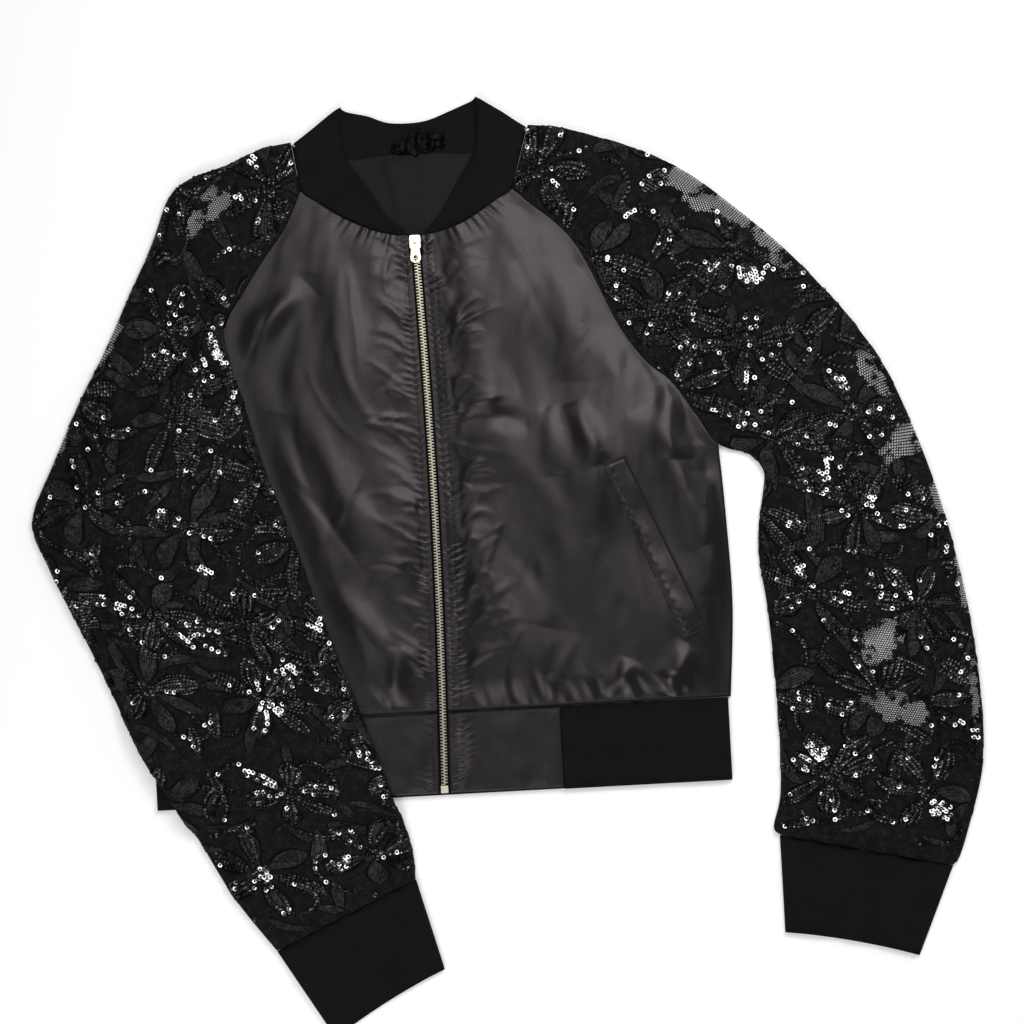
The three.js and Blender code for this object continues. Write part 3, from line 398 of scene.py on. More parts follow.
def newGroup(name, inputs, outputs):
    tree = bpy.data.node_groups.new(name, "ShaderNodeTree")
    for label, kind in inputs:
        tree.interface.new_socket(label, in_out="INPUT", socket_type=kind)
    for label, kind in outputs:
        tree.interface.new_socket(label, in_out="OUTPUT", socket_type=kind)
    return tree, tree.nodes.new("NodeGroupInput").outputs, tree.nodes.new("NodeGroupOutput").inputs


def newSurface(name, colour, roughness, **constants):
    surface = bpy.data.materials.new(name)
    surface.use_nodes = True
    tree = surface.node_tree
    inputs = tree.nodes["Principled BSDF"].inputs
    for key, value in {"Base_Color": colour, "Roughness": roughness, **constants}.items():
        setSocket(tree, inputs[key.replace("_", " ")], value)
    return surface, tree, inputs


def setBump(tree, inputs, height, strength, distance):
    values = {"Height": height, "Strength": strength, "Distance": distance}
    tree.links.new(addNode(tree, "ShaderNodeBump", values).outputs[0], inputs["Normal"])


vectorIn, valueOut = ("Coordinates", "NodeSocketVector"), "NodeSocketFloat"

# Mottling: broad noise plus a quarter of fine noise
mottle, given, result = newGroup("mottle", [vectorIn, ("Scale", valueOut)], [("Value", valueOut)])
broad = addNode(mottle, "ShaderNodeTexNoise", {"Vector": given[0], "Scale": given[1], "Detail": 4})
fine = addNode(mottle, "ShaderNodeTexNoise",
               {"Vector": given[0], "Scale": maths(mottle, "MULTIPLY", given[1], 9), "Detail": 2})
part = maths(mottle, "MULTIPLY", fine.outputs[0], 0.25)
mottle.links.new(maths(mottle, "MULTIPLY_ADD", broad.outputs[0], 0.75, part), result[0])

# Weave: two sets of threads that cross, as a product of waves along x and y
weave, given, result = newGroup("weave", [vectorIn, ("Threads", valueOut)], [("Height", valueOut)])
turns = maths(weave, "MULTIPLY", given[1], 2 * pi)
split = addNode(weave, "ShaderNodeSeparateXYZ", {0: given[0]})
waves = [maths(weave, "SINE", maths(weave, "MULTIPLY", split.outputs[k], turns)) for k in (0, 1)]
weave.links.new(maths(weave, "MULTIPLY", *waves), result[0])

# Hexagonal net: how near a place is to a cell's wall, from 0 in its middle to 0.5 on the wall
hexNet, given, result = newGroup("hexNet", [vectorIn], [("Distance", valueOut)])
cell = (1, 3 ** 0.5, 1)
half = tuple(c / 2 for c in cell)
nearest = []
for shift in ((0, 0, 0), half):
    moved = vectors(hexNet, "ADD", given[0], shift)
    wrapped = vectors(hexNet, "SUBTRACT", moved, vectors(hexNet, "MULTIPLY", cell,
                      vectors(hexNet, "FLOOR", vectors(hexNet, "DIVIDE", moved, cell))))
    inCell = vectors(hexNet, "ABSOLUTE", vectors(hexNet, "SUBTRACT", wrapped, half))
    flat = vectors(hexNet, "MULTIPLY", inCell, (1, 1, 0))
    slanted = vectors(hexNet, "DOT_PRODUCT", flat, (0.5, 3 ** 0.5 / 2, 0))
    nearest.append(maths(hexNet, "MAXIMUM", slanted, addNode(
        hexNet, "ShaderNodeSeparateXYZ", {0: flat}).outputs[0]))
hexNet.links.new(maths(hexNet, "MINIMUM", *nearest), result[0])


def useGroup(tree, group, *values):
    return addNode(tree, "ShaderNodeGroup", dict(enumerate(values)), node_tree=group).outputs[0]


def objectPlace(tree):
    return addNode(tree, "ShaderNodeTexCoord").outputs["Object"]


def uvPlace(tree):
    return addNode(tree, "ShaderNodeUVMap", uv_map="UVMap").outputs[0]


def attribute(tree, name):
    return addNode(tree, "ShaderNodeAttribute", attribute_name=name).outputs["Fac"]


def mottled(tree, scale, *limits):
    value = useGroup(tree, mottle, objectPlace(tree), scale)
    return rangeOf(tree, value, *limits) if limits else value


# Cloth: colour and roughness drift with mottling. The shade attribute carries painted shade, which blackens the colour
# and dulls the shine at the hem seam, in the stitch dents and along the welts' openings.
# Threads with mottling make the bump
def clothSurface(name, look):
    surface, tree, inputs = newSurface(name, look["dark"], look["rough"][0],
                                       Specular_IOR_Level=look["shine"], Specular_Tint=look["tint"])
    patch = mottled(tree, look["patch"], 0.35, 0.65)
    # Painted shade from the shade attribute: black colour and a rougher, duller surface
    paintedShade = attribute(tree, "shade")
    cloth = blendColours(tree, patch, look["dark"], look["light"])
    tree.links.new(blendColours(tree, paintedShade, cloth, (0, 0, 0)), inputs["Base Color"])
    rough = rangeOf(tree, patch, 0, 1, *look["rough"])
    duller = rangeOf(tree, paintedShade, 0, 1, 0, 1 - look["rough"][0])
    tree.links.new(maths(tree, "ADD", rough, duller), inputs["Roughness"])
    threads = useGroup(tree, weave, objectPlace(tree), look["threads"])
    height = maths(tree, "MULTIPLY_ADD", threads, look["weave"], mottled(tree, look["grain"]))
    setBump(tree, inputs, height, look["bump"], 0.0002)
    return surface


satinLook = {"dark": (0.0062, 0.0052, 0.0056), "light": (0.0085, 0.0072, 0.0078),
             "rough": (0.22, 0.28), "shine": 0.36, "tint": (1, 0.9, 0.96), "patch": 22, "grain": 260,
             "threads": 2600, "weave": 0.35, "bump": 0.22}
liningLook = dict(satinLook, dark=(0.008, 0.0075, 0.008), light=(0.0105, 0.0098, 0.0105),
                  rough=(0.6, 0.7), shine=0.12)
tapeLook = dict(satinLook, dark=(0.003, 0.003, 0.003), light=(0.006, 0.0056, 0.0056),
                rough=(0.8, 0.95), threads=900, weave=1, bump=0.6, shine=0.05)
ribbonLook = dict(tapeLook, dark=(0.0006, 0.0006, 0.0007), light=(0.002, 0.002, 0.002),
                  rough=(0.25, 0.4), weave=0.5, bump=0.3)
satin = clothSurface("satin", satinLook)
liningCloth = clothSurface("lining", liningLook)
tapeCloth = clothSurface("tape", tapeLook)
ribbon = clothSurface("ribbon", ribbonLook)

# Rib knit: matt yarn with a fine zigzag of stitches down each rib
ribLook = {"colour": (0.0044, 0.004, 0.0046), "worn": (0.011, 0.01, 0.0112), "stitches": 700}
ribKnit, tree, inputs = newSurface("ribKnit", ribLook["colour"], 0.88, Sheen_Weight=0.01,
                                   Specular_IOR_Level=0.06)
worn = blendColours(tree, mottled(tree, 60), ribLook["colour"], ribLook["worn"])
tree.links.new(worn, inputs["Base Color"])
setBump(tree, inputs, useGroup(tree, weave, uvPlace(tree), ribLook["stitches"]), 0.5, 0.0003)

# Sewing thread, darker than the satin
threadLook = {"colour": (0.0022, 0.002, 0.002), "ply": 900}
threadYarn, tree, inputs = newSurface("threadYarn", threadLook["colour"], 0.6, Specular_IOR_Level=0.1)
setBump(tree, inputs, useGroup(tree, weave, objectPlace(tree), threadLook["ply"]), 0.4, 0.0002)

# Pale gold metal with faint scratches and duller patches
brassLook = {"bright": (0.93, 0.88, 0.72), "dull": (0.68, 0.62, 0.47), "rough": (0.34, 0.48)}
brass, tree, inputs = newSurface("brass", brassLook["bright"], 0.2, Metallic=1)
patch = mottled(tree, 300, 0.4, 0.7)
tree.links.new(blendColours(tree, patch, brassLook["bright"], brassLook["dull"]), inputs["Base Color"])
tree.links.new(rangeOf(tree, patch, 0, 1, *brassLook["rough"]), inputs["Roughness"])
setBump(tree, inputs, mottled(tree, 2400), 0.12, 0.0001)

# Sleeve net: dark ground of doubled net, open hexagons where the window attribute is high
netLook = {"ground": (0.0018, 0.0016, 0.0019), "thread": (0.0074, 0.0068, 0.0077), "cell": 0.0021,
           "strand": 0.36, "tangle": (0.024, 0.0225, 0.025)}
netCloth, tree, inputs = newSurface("netCloth", netLook["ground"], 0.7, Sheen_Weight=0.01,
                                    Specular_IOR_Level=0.08)
where = vectors(tree, "SCALE", uvPlace(tree))
where.node.inputs["Scale"].default_value = 1 / netLook["cell"]
wall = useGroup(tree, hexNet, where)
strand = rangeOf(tree, wall, netLook["strand"], netLook["strand"] + 0.05)
ragged = mottled(tree, 80, 0.35, 0.65, -0.7, 0.5)
opened = rangeOf(tree, maths(tree, "ADD", ragged, attribute(tree, "window")), 0.5, 0.54)
clear = maths(tree, "MULTIPLY", opened, maths(tree, "SUBTRACT", 1.0, strand))
tree.links.new(maths(tree, "SUBTRACT", 1.0, clear), inputs["Alpha"])
fuzz = maths(tree, "MULTIPLY", mottled(tree, 150, 0.42, 0.66), mottled(tree, 560, 0.38, 0.6))
mesh = blendColours(tree, strand, netLook["ground"], netLook["thread"])
tangled = maths(tree, "MULTIPLY", fuzz, maths(tree, "SUBTRACT", 1.0, opened))
tree.links.new(blendColours(tree, tangled, mesh, netLook["tangle"]), inputs["Base Color"])
setBump(tree, inputs, maths(tree, "MULTIPLY_ADD", tangled, 3.0, strand), 0.7, 0.0004)

# Embroidery: lengthwise satin stitches inside a near-black corded edge, which is partly the cord's own colour and
# partly painted shade at the motif's rim; uv is the share along and across
stitchLook = {"fill": (0.066, 0.063, 0.069), "edge": (0.0008, 0.0008, 0.0009), "lines": 18}
embroidery, tree, inputs = newSurface("embroidery", stitchLook["fill"], 0.6, Sheen_Weight=0.01,
                                      Specular_IOR_Level=0.1)
split = addNode(tree, "ShaderNodeSeparateXYZ", {0: uvPlace(tree)})
across = maths(tree, "ABSOLUTE", maths(tree, "SUBTRACT", split.outputs[1], 0.5))
# The outer band: the dark cord, widened as painted shade at the rim
outer = rangeOf(tree, across, 0.34, 0.39)
grain = maths(tree, "SINE", maths(tree, "MULTIPLY", split.outputs[1], stitchLook["lines"] * pi))
patch = mottled(tree, 420, 0.36, 0.66)
wide = mottled(tree, 60, 0.35, 0.65, 0.25, 1.1)
shade = maths(tree, "MULTIPLY", wide, maths(tree, "SUBTRACT", patch, maths(tree, "MULTIPLY", grain, 0.3)))
filled = blendColours(tree, shade, stitchLook["edge"], stitchLook["fill"])
tree.links.new(blendColours(tree, outer, filled, stitchLook["edge"]), inputs["Base Color"])
setBump(tree, inputs, maths(tree, "MULTIPLY_ADD", patch, 2.5, grain), 0.8, 0.0004)

# Sequins: black foil, each with its own random tone and polish from a per-sequin attribute. The same attribute paints
# the sequins aimed at the key lamp paler, a painted glint
sequinLook = {"dark": (0.004, 0.004, 0.0045), "pale": (0.24, 0.24, 0.25), "rough": (0.12, 0.24)}
sequinFoil, tree, inputs = newSurface("sequinFoil", sequinLook["dark"], 0.15, Metallic=0.9,
                                      Coat_Weight=0.12, Coat_Roughness=0.1)
tone = attribute(tree, "tone")
tree.links.new(blendColours(tree, tone, sequinLook["dark"], sequinLook["pale"]), inputs["Base Color"])
tree.links.new(mottled(tree, 240, 0.3, 0.7, *sequinLook["rough"]), inputs["Roughness"])

# Floor: plain white, with a faint glow that keeps its far corners as pale as its middle
floorLook = {"colour": (0.93, 0.93, 0.93), "dull": (0.92, 0.92, 0.92), "reach": 4000, "drop": 0.6,
             "glow": 0.14}
floorPaint, tree, inputs = newSurface("floorPaint", floorLook["colour"], 0.9, Specular_IOR_Level=0.1,
                                      Emission_Color=(1, 1, 1), Emission_Strength=floorLook["glow"])
pale = blendColours(tree, mottled(tree, 2), floorLook["dull"], floorLook["colour"])
tree.links.new(pale, inputs["Base Color"])
corners = np.array([[-1, -1, 0], [1, -1, 0], [1, 1, 0], [-1, 1, 0]]) * floorLook["reach"]
floorMesh = bpy.data.meshes.new("floor")
floorMesh.from_pydata(place(corners - [0, 0, floorLook["drop"]]), [], [[0, 1, 2, 3]])
floorMesh.materials.append(floorPaint)
floor = bpy.data.objects.new("floor", floorMesh)
scene.collection.objects.link(floor)
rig.stage(floor)
print("materials and floor")

# Heights of the flat layers, and the body's main lines
heights = {"liningTop": 2.9, "tapeTop": 4.2, "front": 6.1, "sideSeam": 3.5, "collarFront": 5.9,
           "sleeve": 6.1, "sleeveLift": 8.1, "cuff": 5.4}
body = {"hemSeamY": 65, "hemBottomY": -3, "hemSideX": 236, "satinHemEnd": 98, "zipTopY": 455.8,
        "zipBow": 4.2, "zipEdge": 4.3, "sliderClear": 1.6, "puff": 2.6, "seamGap": 0.44}

# Sleeve sections from neck to cuff: ax, ay, bx, by, seam, wrap, lay, up, puff
leftRows = [
    [-92, 497, -97.5, 537.5, 0, 0, 0, 0, 1],
    [-106, 468.1, -123, 533, 0, 0, 0, 0, 2],
    [-126.3, 441.3, -152.4, 520.7, 0, 0, 0, 0, 3],
    [-143.3, 416.7, -181.7, 511.6, 0, 0, 0, 0, 3.5],
    [-159.5, 389.7, -199.7, 496.2, 0, 0, 0, 0.4, 3.5],
    [-155.6, 355.8, -215.7, 458.4, 0.15, 1, 0, 1, 3.5],
    [-147.9, 330.8, -237.7, 416.1, 0.3, 1, 0, 1, 4],
    [-140.5, 301.6, -259.8, 373, 0.46, 1, 0, 1, 4],
    [-130.9, 265.8, -283.5, 329.9, 0.58, 1, 0, 1, 4.5],
    [-118.1, 230.6, -306.5, 283.5, 0.64, 1, 0, 1, 5],
    [-108.2, 199.7, -325.3, 240.2, 0.68, 1, 0, 1, 5],
    [-97.1, 162.1, -317.2, 207.7, 0.73, 1, 1, 1, 4.5],
    [-84.4, 123.7, -295.3, 158.1, 0.8, 1, 1, 1, 4],
    [-73.1, 91, -275.6, 112.7, 0.72, 1, 1, 1, 4],
    [-64.6, 65.9, -258.8, 73.2, 0.6, 1, 1, 1, 4],
    [-56.1, 40, -242.8, 36.2, 0.6, 1, 1, 1, 4],
    [-48, 16.5, -229, 14, 0.6, 1, 1, 1, 4.5],
    [-41, -6, -214, -13, 0.6, 1, 1, 1, 4.5],
    [-36.3, -17.7, -202.8, -30.1, 0.6, 1, 1, 1, 5.5],
    [-28.8, -46.9, -176.7, -78.3, 0.6, 1, 1, 1, 5],
    [-27.6, -69.9, -144.6, -122.7, 0.6, 1, 1, 1, 1],
]
rightRows = [
    [81.8, 490, 97.4, 541.5, 0, 0, 0, 0, 1],
    [95.7, 476.9, 123.6, 537.8, 0, 0, 0, 0, 2],
    [113, 462.8, 155.9, 527.8, 0, 0, 0, 0, 3],
    [128.5, 445.5, 192.1, 513.5, 0, 0, 0, 0, 4],
    [142.6, 419.3, 228, 493.5, 0, 0, 0, 0, 4.5],
    [162.4, 374.7, 263.3, 464.5, 0, 0, 0, 0, 5],
    [182.9, 344, 298.5, 432.2, 0, 0, 0, 0, 5],
    [204.5, 324.8, 329.5, 397.7, 0, 0, 0, 0, 5],
    [222.2, 297.3, 356.4, 363.3, 0, 0, 0, 0, 5],
    [239, 272, 379.1, 326.8, 0, 0, 0, 0, 5],
    [263.1, 262.5, 398.6, 278.9, 0, 1, 0, 0, 5],
    [275.2, 244.6, 414.8, 228.8, 0, 1, 0, 0, 5],
    [269.7, 212.1, 424.9, 187.2, 0, 1, 0, 0, 5],
    [267, 178.4, 432.7, 149.8, 0, 1, 0, 0, 5],
    [271.2, 140.5, 438.1, 112.6, 0, 1, 0, 0, 5],
    [273.9, 100.5, 441.6, 71.3, 0, 1, 0, 0, 5],
    [275.4, 60.3, 442.8, 31.1, 0, 1, 0, 0, 5],
    [275.8, 22.2, 439.8, -8.7, 0, 1, 0, 0, 5.5],
    [273.8, -18.2, 427.4, -50.6, 0, 1, 0, 0, 5.5],
    [267.2, -43, 418.6, -75, 0, 1, 0, 0, 5],
    [271.9, -50, 412.7, -82.3, 0, 1, 0, 0, 1],
]
sideSeamRows = [[238, 65], [243.5, 140], [242, 212], [239, 272]]
sectionSteps = 12
armpit = 9 * sectionSteps
sides = ((-1, "Left"), (1, "Right"))
leftSections = smoothRows(leftRows, sectionSteps, even=(4, 5, 6, 7))
rightSections = smoothRows(rightRows, sectionSteps, even=(4, 5, 6, 7))


# The raglan seam as the panels see it, on top of the side seam
def panelEdge(sections, side):
    rows = sections[:armpit + 1][::-1]
    wide = rows[:, 2:4] - rows[:, :2]
    share = rows[:, 4] - body["seamGap"] / 2 / np.linalg.norm(wide, axis=1)
    seam = rows[:, :2] + wide * share[:, None]
    return np.vstack([smoothRows(sideSeamRows, 12)[:-5] * [side, 1], seam])


leftEdge = panelEdge(leftSections, -1)
rightEdge = panelEdge(rightSections, 1)
coverEdge = leftSections[4 * sectionSteps:][::-1, :2]


def edgeX(edge, y):
    return np.interp(y, edge[:, 1], edge[:, 0])


def zipX(y):
    return body["zipBow"] * np.sin(pi * np.clip(y, 0, body["zipTopY"]) / body["zipTopY"])


# Folds: x0, y0, x1, y1, rise, width, bow. Each is a soft ridge about a bowed line
frontFolds = [
    [119, 312, 140, 261, 2.2, 9, 2],
    [176, 305, 222, 190, 2.4, 13, 6],
    [206, 326, 205, 262, 2.6, 11, -8],
    [158, 99, 139, 70, 2.2, 8, 0],
    [207, 108, 180, 80, 2.6, 9, 4],
    [193, 88, 186, 70, 1.8, 8, 0],
    [18, 294, 86, 297, -1.3, 8, 8],
    [102, 310, 106, 254, 1.6, 10, 0],
    [126, 424, 121, 330, 1.6, 16, 4],
    [70, 430, 58, 250, 1.7, 20, -8],
    [150, 372, 92, 130, 2.2, 24, 14],
    [30, 226, 84, 90, 1.8, 18, -6],
    [226, 250, 226, 150, 1.6, 10, 3],
    [-86, 430, -119, 318, -1.2, 11, -8],
    [-148, 366, -88, 418, 2.4, 11, 4],
    [-62, 440, -40, 250, 1.8, 18, -10],
    [-100, 330, -34, 178, 2.2, 18, -8],
    [-122, 318, -66, 196, -1.2, 13, 4],
    [-84, 168, -28, 92, 2, 13, 4],
    [-30, 120, -36, 72, 1.6, 9, 0],
]
sleeveFolds = [
    [-120, 462, -176, 470, 1.8, 9, 4],
    [-176, 404, -218, 402, 2, 10, 3],
    [-166, 330, -252, 346, 2.2, 11, 6],
    [-150, 262, -290, 262, 2.4, 13, 8],
    [-180, 214, -300, 206, -1.8, 10, 6],
    [-122, 150, -250, 128, 2, 12, -6],
    [-96, 66, -196, 44, 2.2, 12, 4],
    [-70, 0, -170, -24, 2, 10, 6],
    [132, 488, 190, 474, 1.8, 10, 4],
    [176, 408, 262, 424, 2.2, 12, 6],
    [214, 344, 320, 352, 2.6, 12, 10],
    [246, 290, 348, 300, 2.6, 11, 8],
    [288, 250, 392, 244, -2, 9, 6],
    [284, 218, 384, 190, 2.4, 12, 6],
    [290, 132, 400, 120, 2, 14, -6],
    [292, 44, 410, 38, 2.2, 13, 6],
    [292, -8, 400, -20, 1.8, 10, -4],
]


def foldHeight(folds, x, y):
    height = 0
    for x0, y0, x1, y1, rise, width, bow in folds:
        length = np.hypot(x1 - x0, y1 - y0)
        dx, dy = (x1 - x0) / length, (y1 - y0) / length
        along = (x - x0) * dx + (y - y0) * dy
        t = np.clip(along / length, 0, 1)
        across = (y - y0) * dx - (x - x0) * dy - bow * 4 * t * (1 - t)
        fade = np.sin(pi * t) ** 0.7
        height = height + rise * fade * np.exp(-(across ** 2 + (along - t * length) ** 2) / width ** 2)
    return height


# Fine creases: some run out and up from the stitches by the zip, others down the cloth
def fineCreases(count, seed):
    random = np.random.default_rng(seed)
    made = []
    for k in range(2 * count):
        side = 1 if k % 2 else -1
        y = random.uniform(85, 440)
        x = zipX(y) + (20 if side > 0 else -9) + side * random.uniform(0, 5)
        length, angle = random.uniform(10, 52), random.uniform(0.15, 1.0)
        made.append([x, y, x + side * length * cos(angle), y + length * sin(angle),
                     random.uniform(0.3, 0.75), random.uniform(2.4, 4.6), side * random.uniform(0, 10)])
    for k in range(count):
        x, y = random.uniform(-150, 215), random.uniform(120, 470)
        length, angle = random.uniform(40, 130), random.uniform(-2.2, -0.9)
        made.append([x, y, x + length * cos(angle), y + length * sin(angle),
                     random.uniform(0.25, 0.85) * random.choice([-0.8, 1]), random.uniform(2.6, 7),
                     random.uniform(-12, 12)])
    return made


creases = fineCreases(64, 17)

# Fronts. Rows of stitches beside the zip pull the satin into small puckers
fronts = {"rows": 316, "columns": 142, "wall": 1.2, "foldGain": 1.7, "stitchRows": (-8.8, 8.8, 14.6),
          "pucker": 5.8, "puckerRise": 0.5,
          "sheet": {"flat": (0.247, 0.43), "held": "laid", "rests_on": ["backPanel"], "area": 0.0836}}


# Waves of the puckers along the rows of stitches, with their place and size
def stitchWaves(x, y):
    away = x - zipX(y)
    for k, row in enumerate(fronts["stitchRows"]):
        off = away - row
        drift = 0.35 * wander(x * 0.2, y, 60, k)
        wave = np.sin(2 * pi * (y / fronts["pucker"] + 2.2 * drift - 0.07 * np.abs(off)))
        yield off, row, wave, np.clip(0.75 + 1.1 * wander(0.3 * x, y, 30, k + 5), 0.15, 1.9)


def puckers(x, y):
    height = 0
    for off, row, wave, size in stitchWaves(x, y):
        tail = np.where(off * row > 0, bell(off, 6.5), bell(off, 3))
        height = height + fronts["puckerRise"] * size * wave * tail - 0.12 * bell(off, 1.1)
    return height


# Painted shade: a dark line along the hem seam, and dark dots in the dents where the stitches pull the satin in
def paintedSeamAndDentShade(x, y):
    shade = 1.4 * bell(y - body["hemSeamY"], 1.9)
    for off, row, wave, size in stitchWaves(x, y):
        dip = np.clip(size, 0, 1) * np.clip(-wave, 0, 1) ** 1.5
        shade = shade + 0.85 * dip * bell(off - 0.6 * np.sign(row), 1.7)
    return np.clip(shade, 0, 1)


# Satin sheets carry the painted shade of the hem seam and the stitch dents in their shade attribute
def satinPiece(name, node, grid, sheet):
    points = grid.reshape(-1, 3)
    faces = outward(points, gridFaces(*grid.shape[:2]), sheet=True)
    clothPiece(name, node, points, faces, satin, "satin", sheet, shade=paintedSeamAndDentShade(*points.T[:2]))


def frontHeight(x, y):
    side = np.where(x > 0, edgeX(rightEdge, y), edgeX(leftEdge, y))
    inside = np.abs(side) - np.abs(x)
    drop = (heights["front"] - heights["sideSeam"]) * (1 - ease(inside / 26 + 0.12)) * ease((285 - y) / 30)
    shown = ease((x - edgeX(coverEdge, y) - 3) / 22 + np.maximum(0, y - leftRows[4][1]) / 30)
    bare = np.where(x > 0, 1, shown)
    fromZip = np.abs(x - zipX(y))
    low = ease((y - body["hemSeamY"]) / 26)
    fill = ease((fromZip - 5) / 34) * ease(inside / 40) * low * ease((498 - y) / 50)
    edges = ease((fromZip - 6) / 12) * ease(inside / 12) * ease((500 - y) / 26)
    folds = fronts["foldGain"] * foldHeight(frontFolds, x, y)
    small = (foldHeight(creases, x, y) + 0.5 * wander(x + 0.2 * y, 0.4 * y, 44, 3)
             + 0.1 * wander(1.2 * x, 0.6 * y, 21, 4) + 1.2 * wander(x, y, 130, 8))
    gather = 0.8 * wander(x + 0.3 * y, 0.3 * y, 15, 6) * bell(y - body["hemSeamY"], 26) * ease(fromZip / 70)
    around = np.arctan2(x, 535 - y) * 90
    neck = 0.5 * wander(around, 0 * y, 8, 7) * bell(np.hypot(x * 0.9, y - 535) - 78, 12)
    relief = body["puff"] * fill + (folds + small + gather + neck) * edges + puckers(x, y)
    relief = np.logaddexp(0, 2 * (relief + 1)) / 2 - 1
    return heights["front"] - drop + bare * relief


# Collar band rows: sx, sy on the seam and fx, fy on the free edge
collarLeftRows = [
    [-6.6, 456.8, -8.4, 461.8], [-17, 458, -19.5, 470], [-37, 463.6, -30.6, 487],
    [-59, 474.6, -41.5, 504.8], [-77, 487, -50, 516.5], [-91.3, 498.4, -55.9, 530],
    [-93.6, 518.5, -56.4, 548], [-95.6, 536.6, -56, 564.7],
]
collarRightRows = [
    [7.6, 456.8, 11.6, 461.8], [22, 459.2, 22.6, 474], [37, 464, 32, 489],
    [53, 472.6, 42, 505.5], [67.5, 482.4, 49.5, 517], [81, 491.2, 53.9, 529],
    [88, 515.5, 55.2, 548], [96, 540.2, 56.2, 567.6],
]
collarBackRows = [
    [-91, 531, -54, 561], [-72, 524, -45, 558.5], [-49, 519, -33, 555.5], [-21.7, 521.5, -15, 549],
    [16.8, 521.5, 11.7, 549], [46, 519.5, 33, 556], [71, 525, 46, 561], [91, 534, 54, 564],
]
neckRow = 5


def zipGap(y):
    return body["zipEdge"] + body["sliderClear"] * ease((y - (body["zipTopY"] - 22)) / 8)


def frontPanel(side):
    edge = rightEdge if side > 0 else leftEdge
    steps = 12
    neck = smoothRows(collarRightRows if side > 0 else collarLeftRows, steps)[:neckRow * steps + 1, :2]
    neck = neck - [0, body["seamGap"]]
    neck[0, 0] = zipX(body["zipTopY"]) + side * zipGap(body["zipTopY"])
    neck[-1] = edge[-1]
    across, up = shares(fronts["columns"]) ** 1.25, shares(fronts["rows"])
    right = resample(edge, up)
    y = mix(body["hemSeamY"], neck[0, 1], up)
    left = packed(zipX(y) + side * zipGap(y), y)
    low = mix(left[0], right[0], across[:, None])
    x, y = np.moveaxis(fillPlan(low, resample(neck, across), left, right, across, up), -1, 0)
    return turnUnder(packed(x, y, frontHeight(x, y)), fronts["wall"])


for side, name in sides:
    satinPiece("front" + name, "front_" + name.lower(), frontPanel(side), fronts["sheet"])
print("fronts")

# Back: soft long creases on its underside, where it lies on the table
back = {"rows": 90, "columns": 84, "top": 1.6, "wall": 1.3, "neckSteps": 8,
        "besideSleeve": (0.35, 0.7, 0.96),
        "sheet": {"flat": (0.49, 0.46), "held": "laid", "rests_on": ["floor"], "area": 0.188}}


def backNeck():
    rows = smoothRows(collarBackRows, back["neckSteps"])
    fall = 2 * ease((np.abs(rows[:, 0]) - 60) / 20)
    return packed(rows[:, 0], rows[:, 1] - body["seamGap"] - 0.3 - fall)


def backGrid():
    neckSides = []
    across, up = shares(back["columns"]), shares(back["rows"])
    for edge, sections, inward in ((leftEdge, leftSections, 1), (rightEdge, rightSections, -1)):
        rise = [mix(sections[0, :2], sections[0, 2:4], share) + [inward * body["seamGap"], 0]
                for share in back["besideSleeve"]]
        neckSides.append(resample(np.vstack([edge, rise]), up))
    left, right = neckSides
    neck = resample(backNeck(), across)
    neck[0], neck[-1] = left[-1], right[-1]
    low = mix(left[0], right[0], across[:, None])
    x, y = np.moveaxis(fillPlan(low, neck, left, right, across, up), -1, 0)
    crease = 0.25 * wander(x, y * 0.4, 70, 11) + 0.2 * wander(x * 0.5, y, 46, 12)
    under = np.clip(crease, -0.28, 0.6) * rimOf(across, 12)[None] * rimOf(up, 12)[:, None]
    return packed(x, y, back["top"]), packed(x, y, back["top"] - back["wall"] + under)


wallPiece("backPanel", "back_panel", *backGrid(), satin, "satin", back["sheet"])

# Lining, seen inside the neck, with a flat pleat and a few soft folds
liner = {"rows": 44, "columns": 64, "wall": 0.8, "depth": 92, "taper": 0.86, "underCollar": 2.6,
         "pleat": 1.5, "sheet": {"flat": (0.18, 0.1), "held": "laid", "rests_on": ["backPanel"]}}
across, up = shares(liner["columns"]), shares(liner["rows"])
top = resample(backNeck()[5:-5], across) + [0, liner["underCollar"]]
low = packed(top[:, 0] * liner["taper"], top[0, 1] - liner["depth"])
left, right = (mix(low[end], top[end], up[:, None]) for end in (0, -1))
x, y = np.moveaxis(fillPlan(low, top, left, right, across, up), -1, 0)
fold = 0.3 * wander(x, y * 0.3, 60, 21) + 0.2 * wander(x, y, 24, 22)
fold = np.clip(fold - 0.35 * bell(x - 36 - (y - 480) * 0.25, 3), -0.4, 0.5)
pleat = ease((x + 26 + (y - 516) * 0.2) / 8) - ease((x - 11) / 9)
fold += liner["pleat"] * pleat * ease((y - 464) / 12)
grid = packed(x, y, heights["liningTop"] - 0.1 + fold * rimOf(up, 8)[:, None])
wallPiece("neckLining", "lining_back_neck", grid, grid - [0, 0, liner["wall"]], liningCloth, "lining",
          liner["sheet"])
print("back and lining")

# Rib knit: real ribs, set back from the solid's surface by a wave along the run
ribs = {"pitch": 2.6, "depth": 0.45, "step": 0.44, "wall": 2.1}


def ribDepth(run):
    return ribs["depth"] * (0.5 - 0.5 * np.cos(2 * pi * run / ribs["pitch"])) ** 0.8


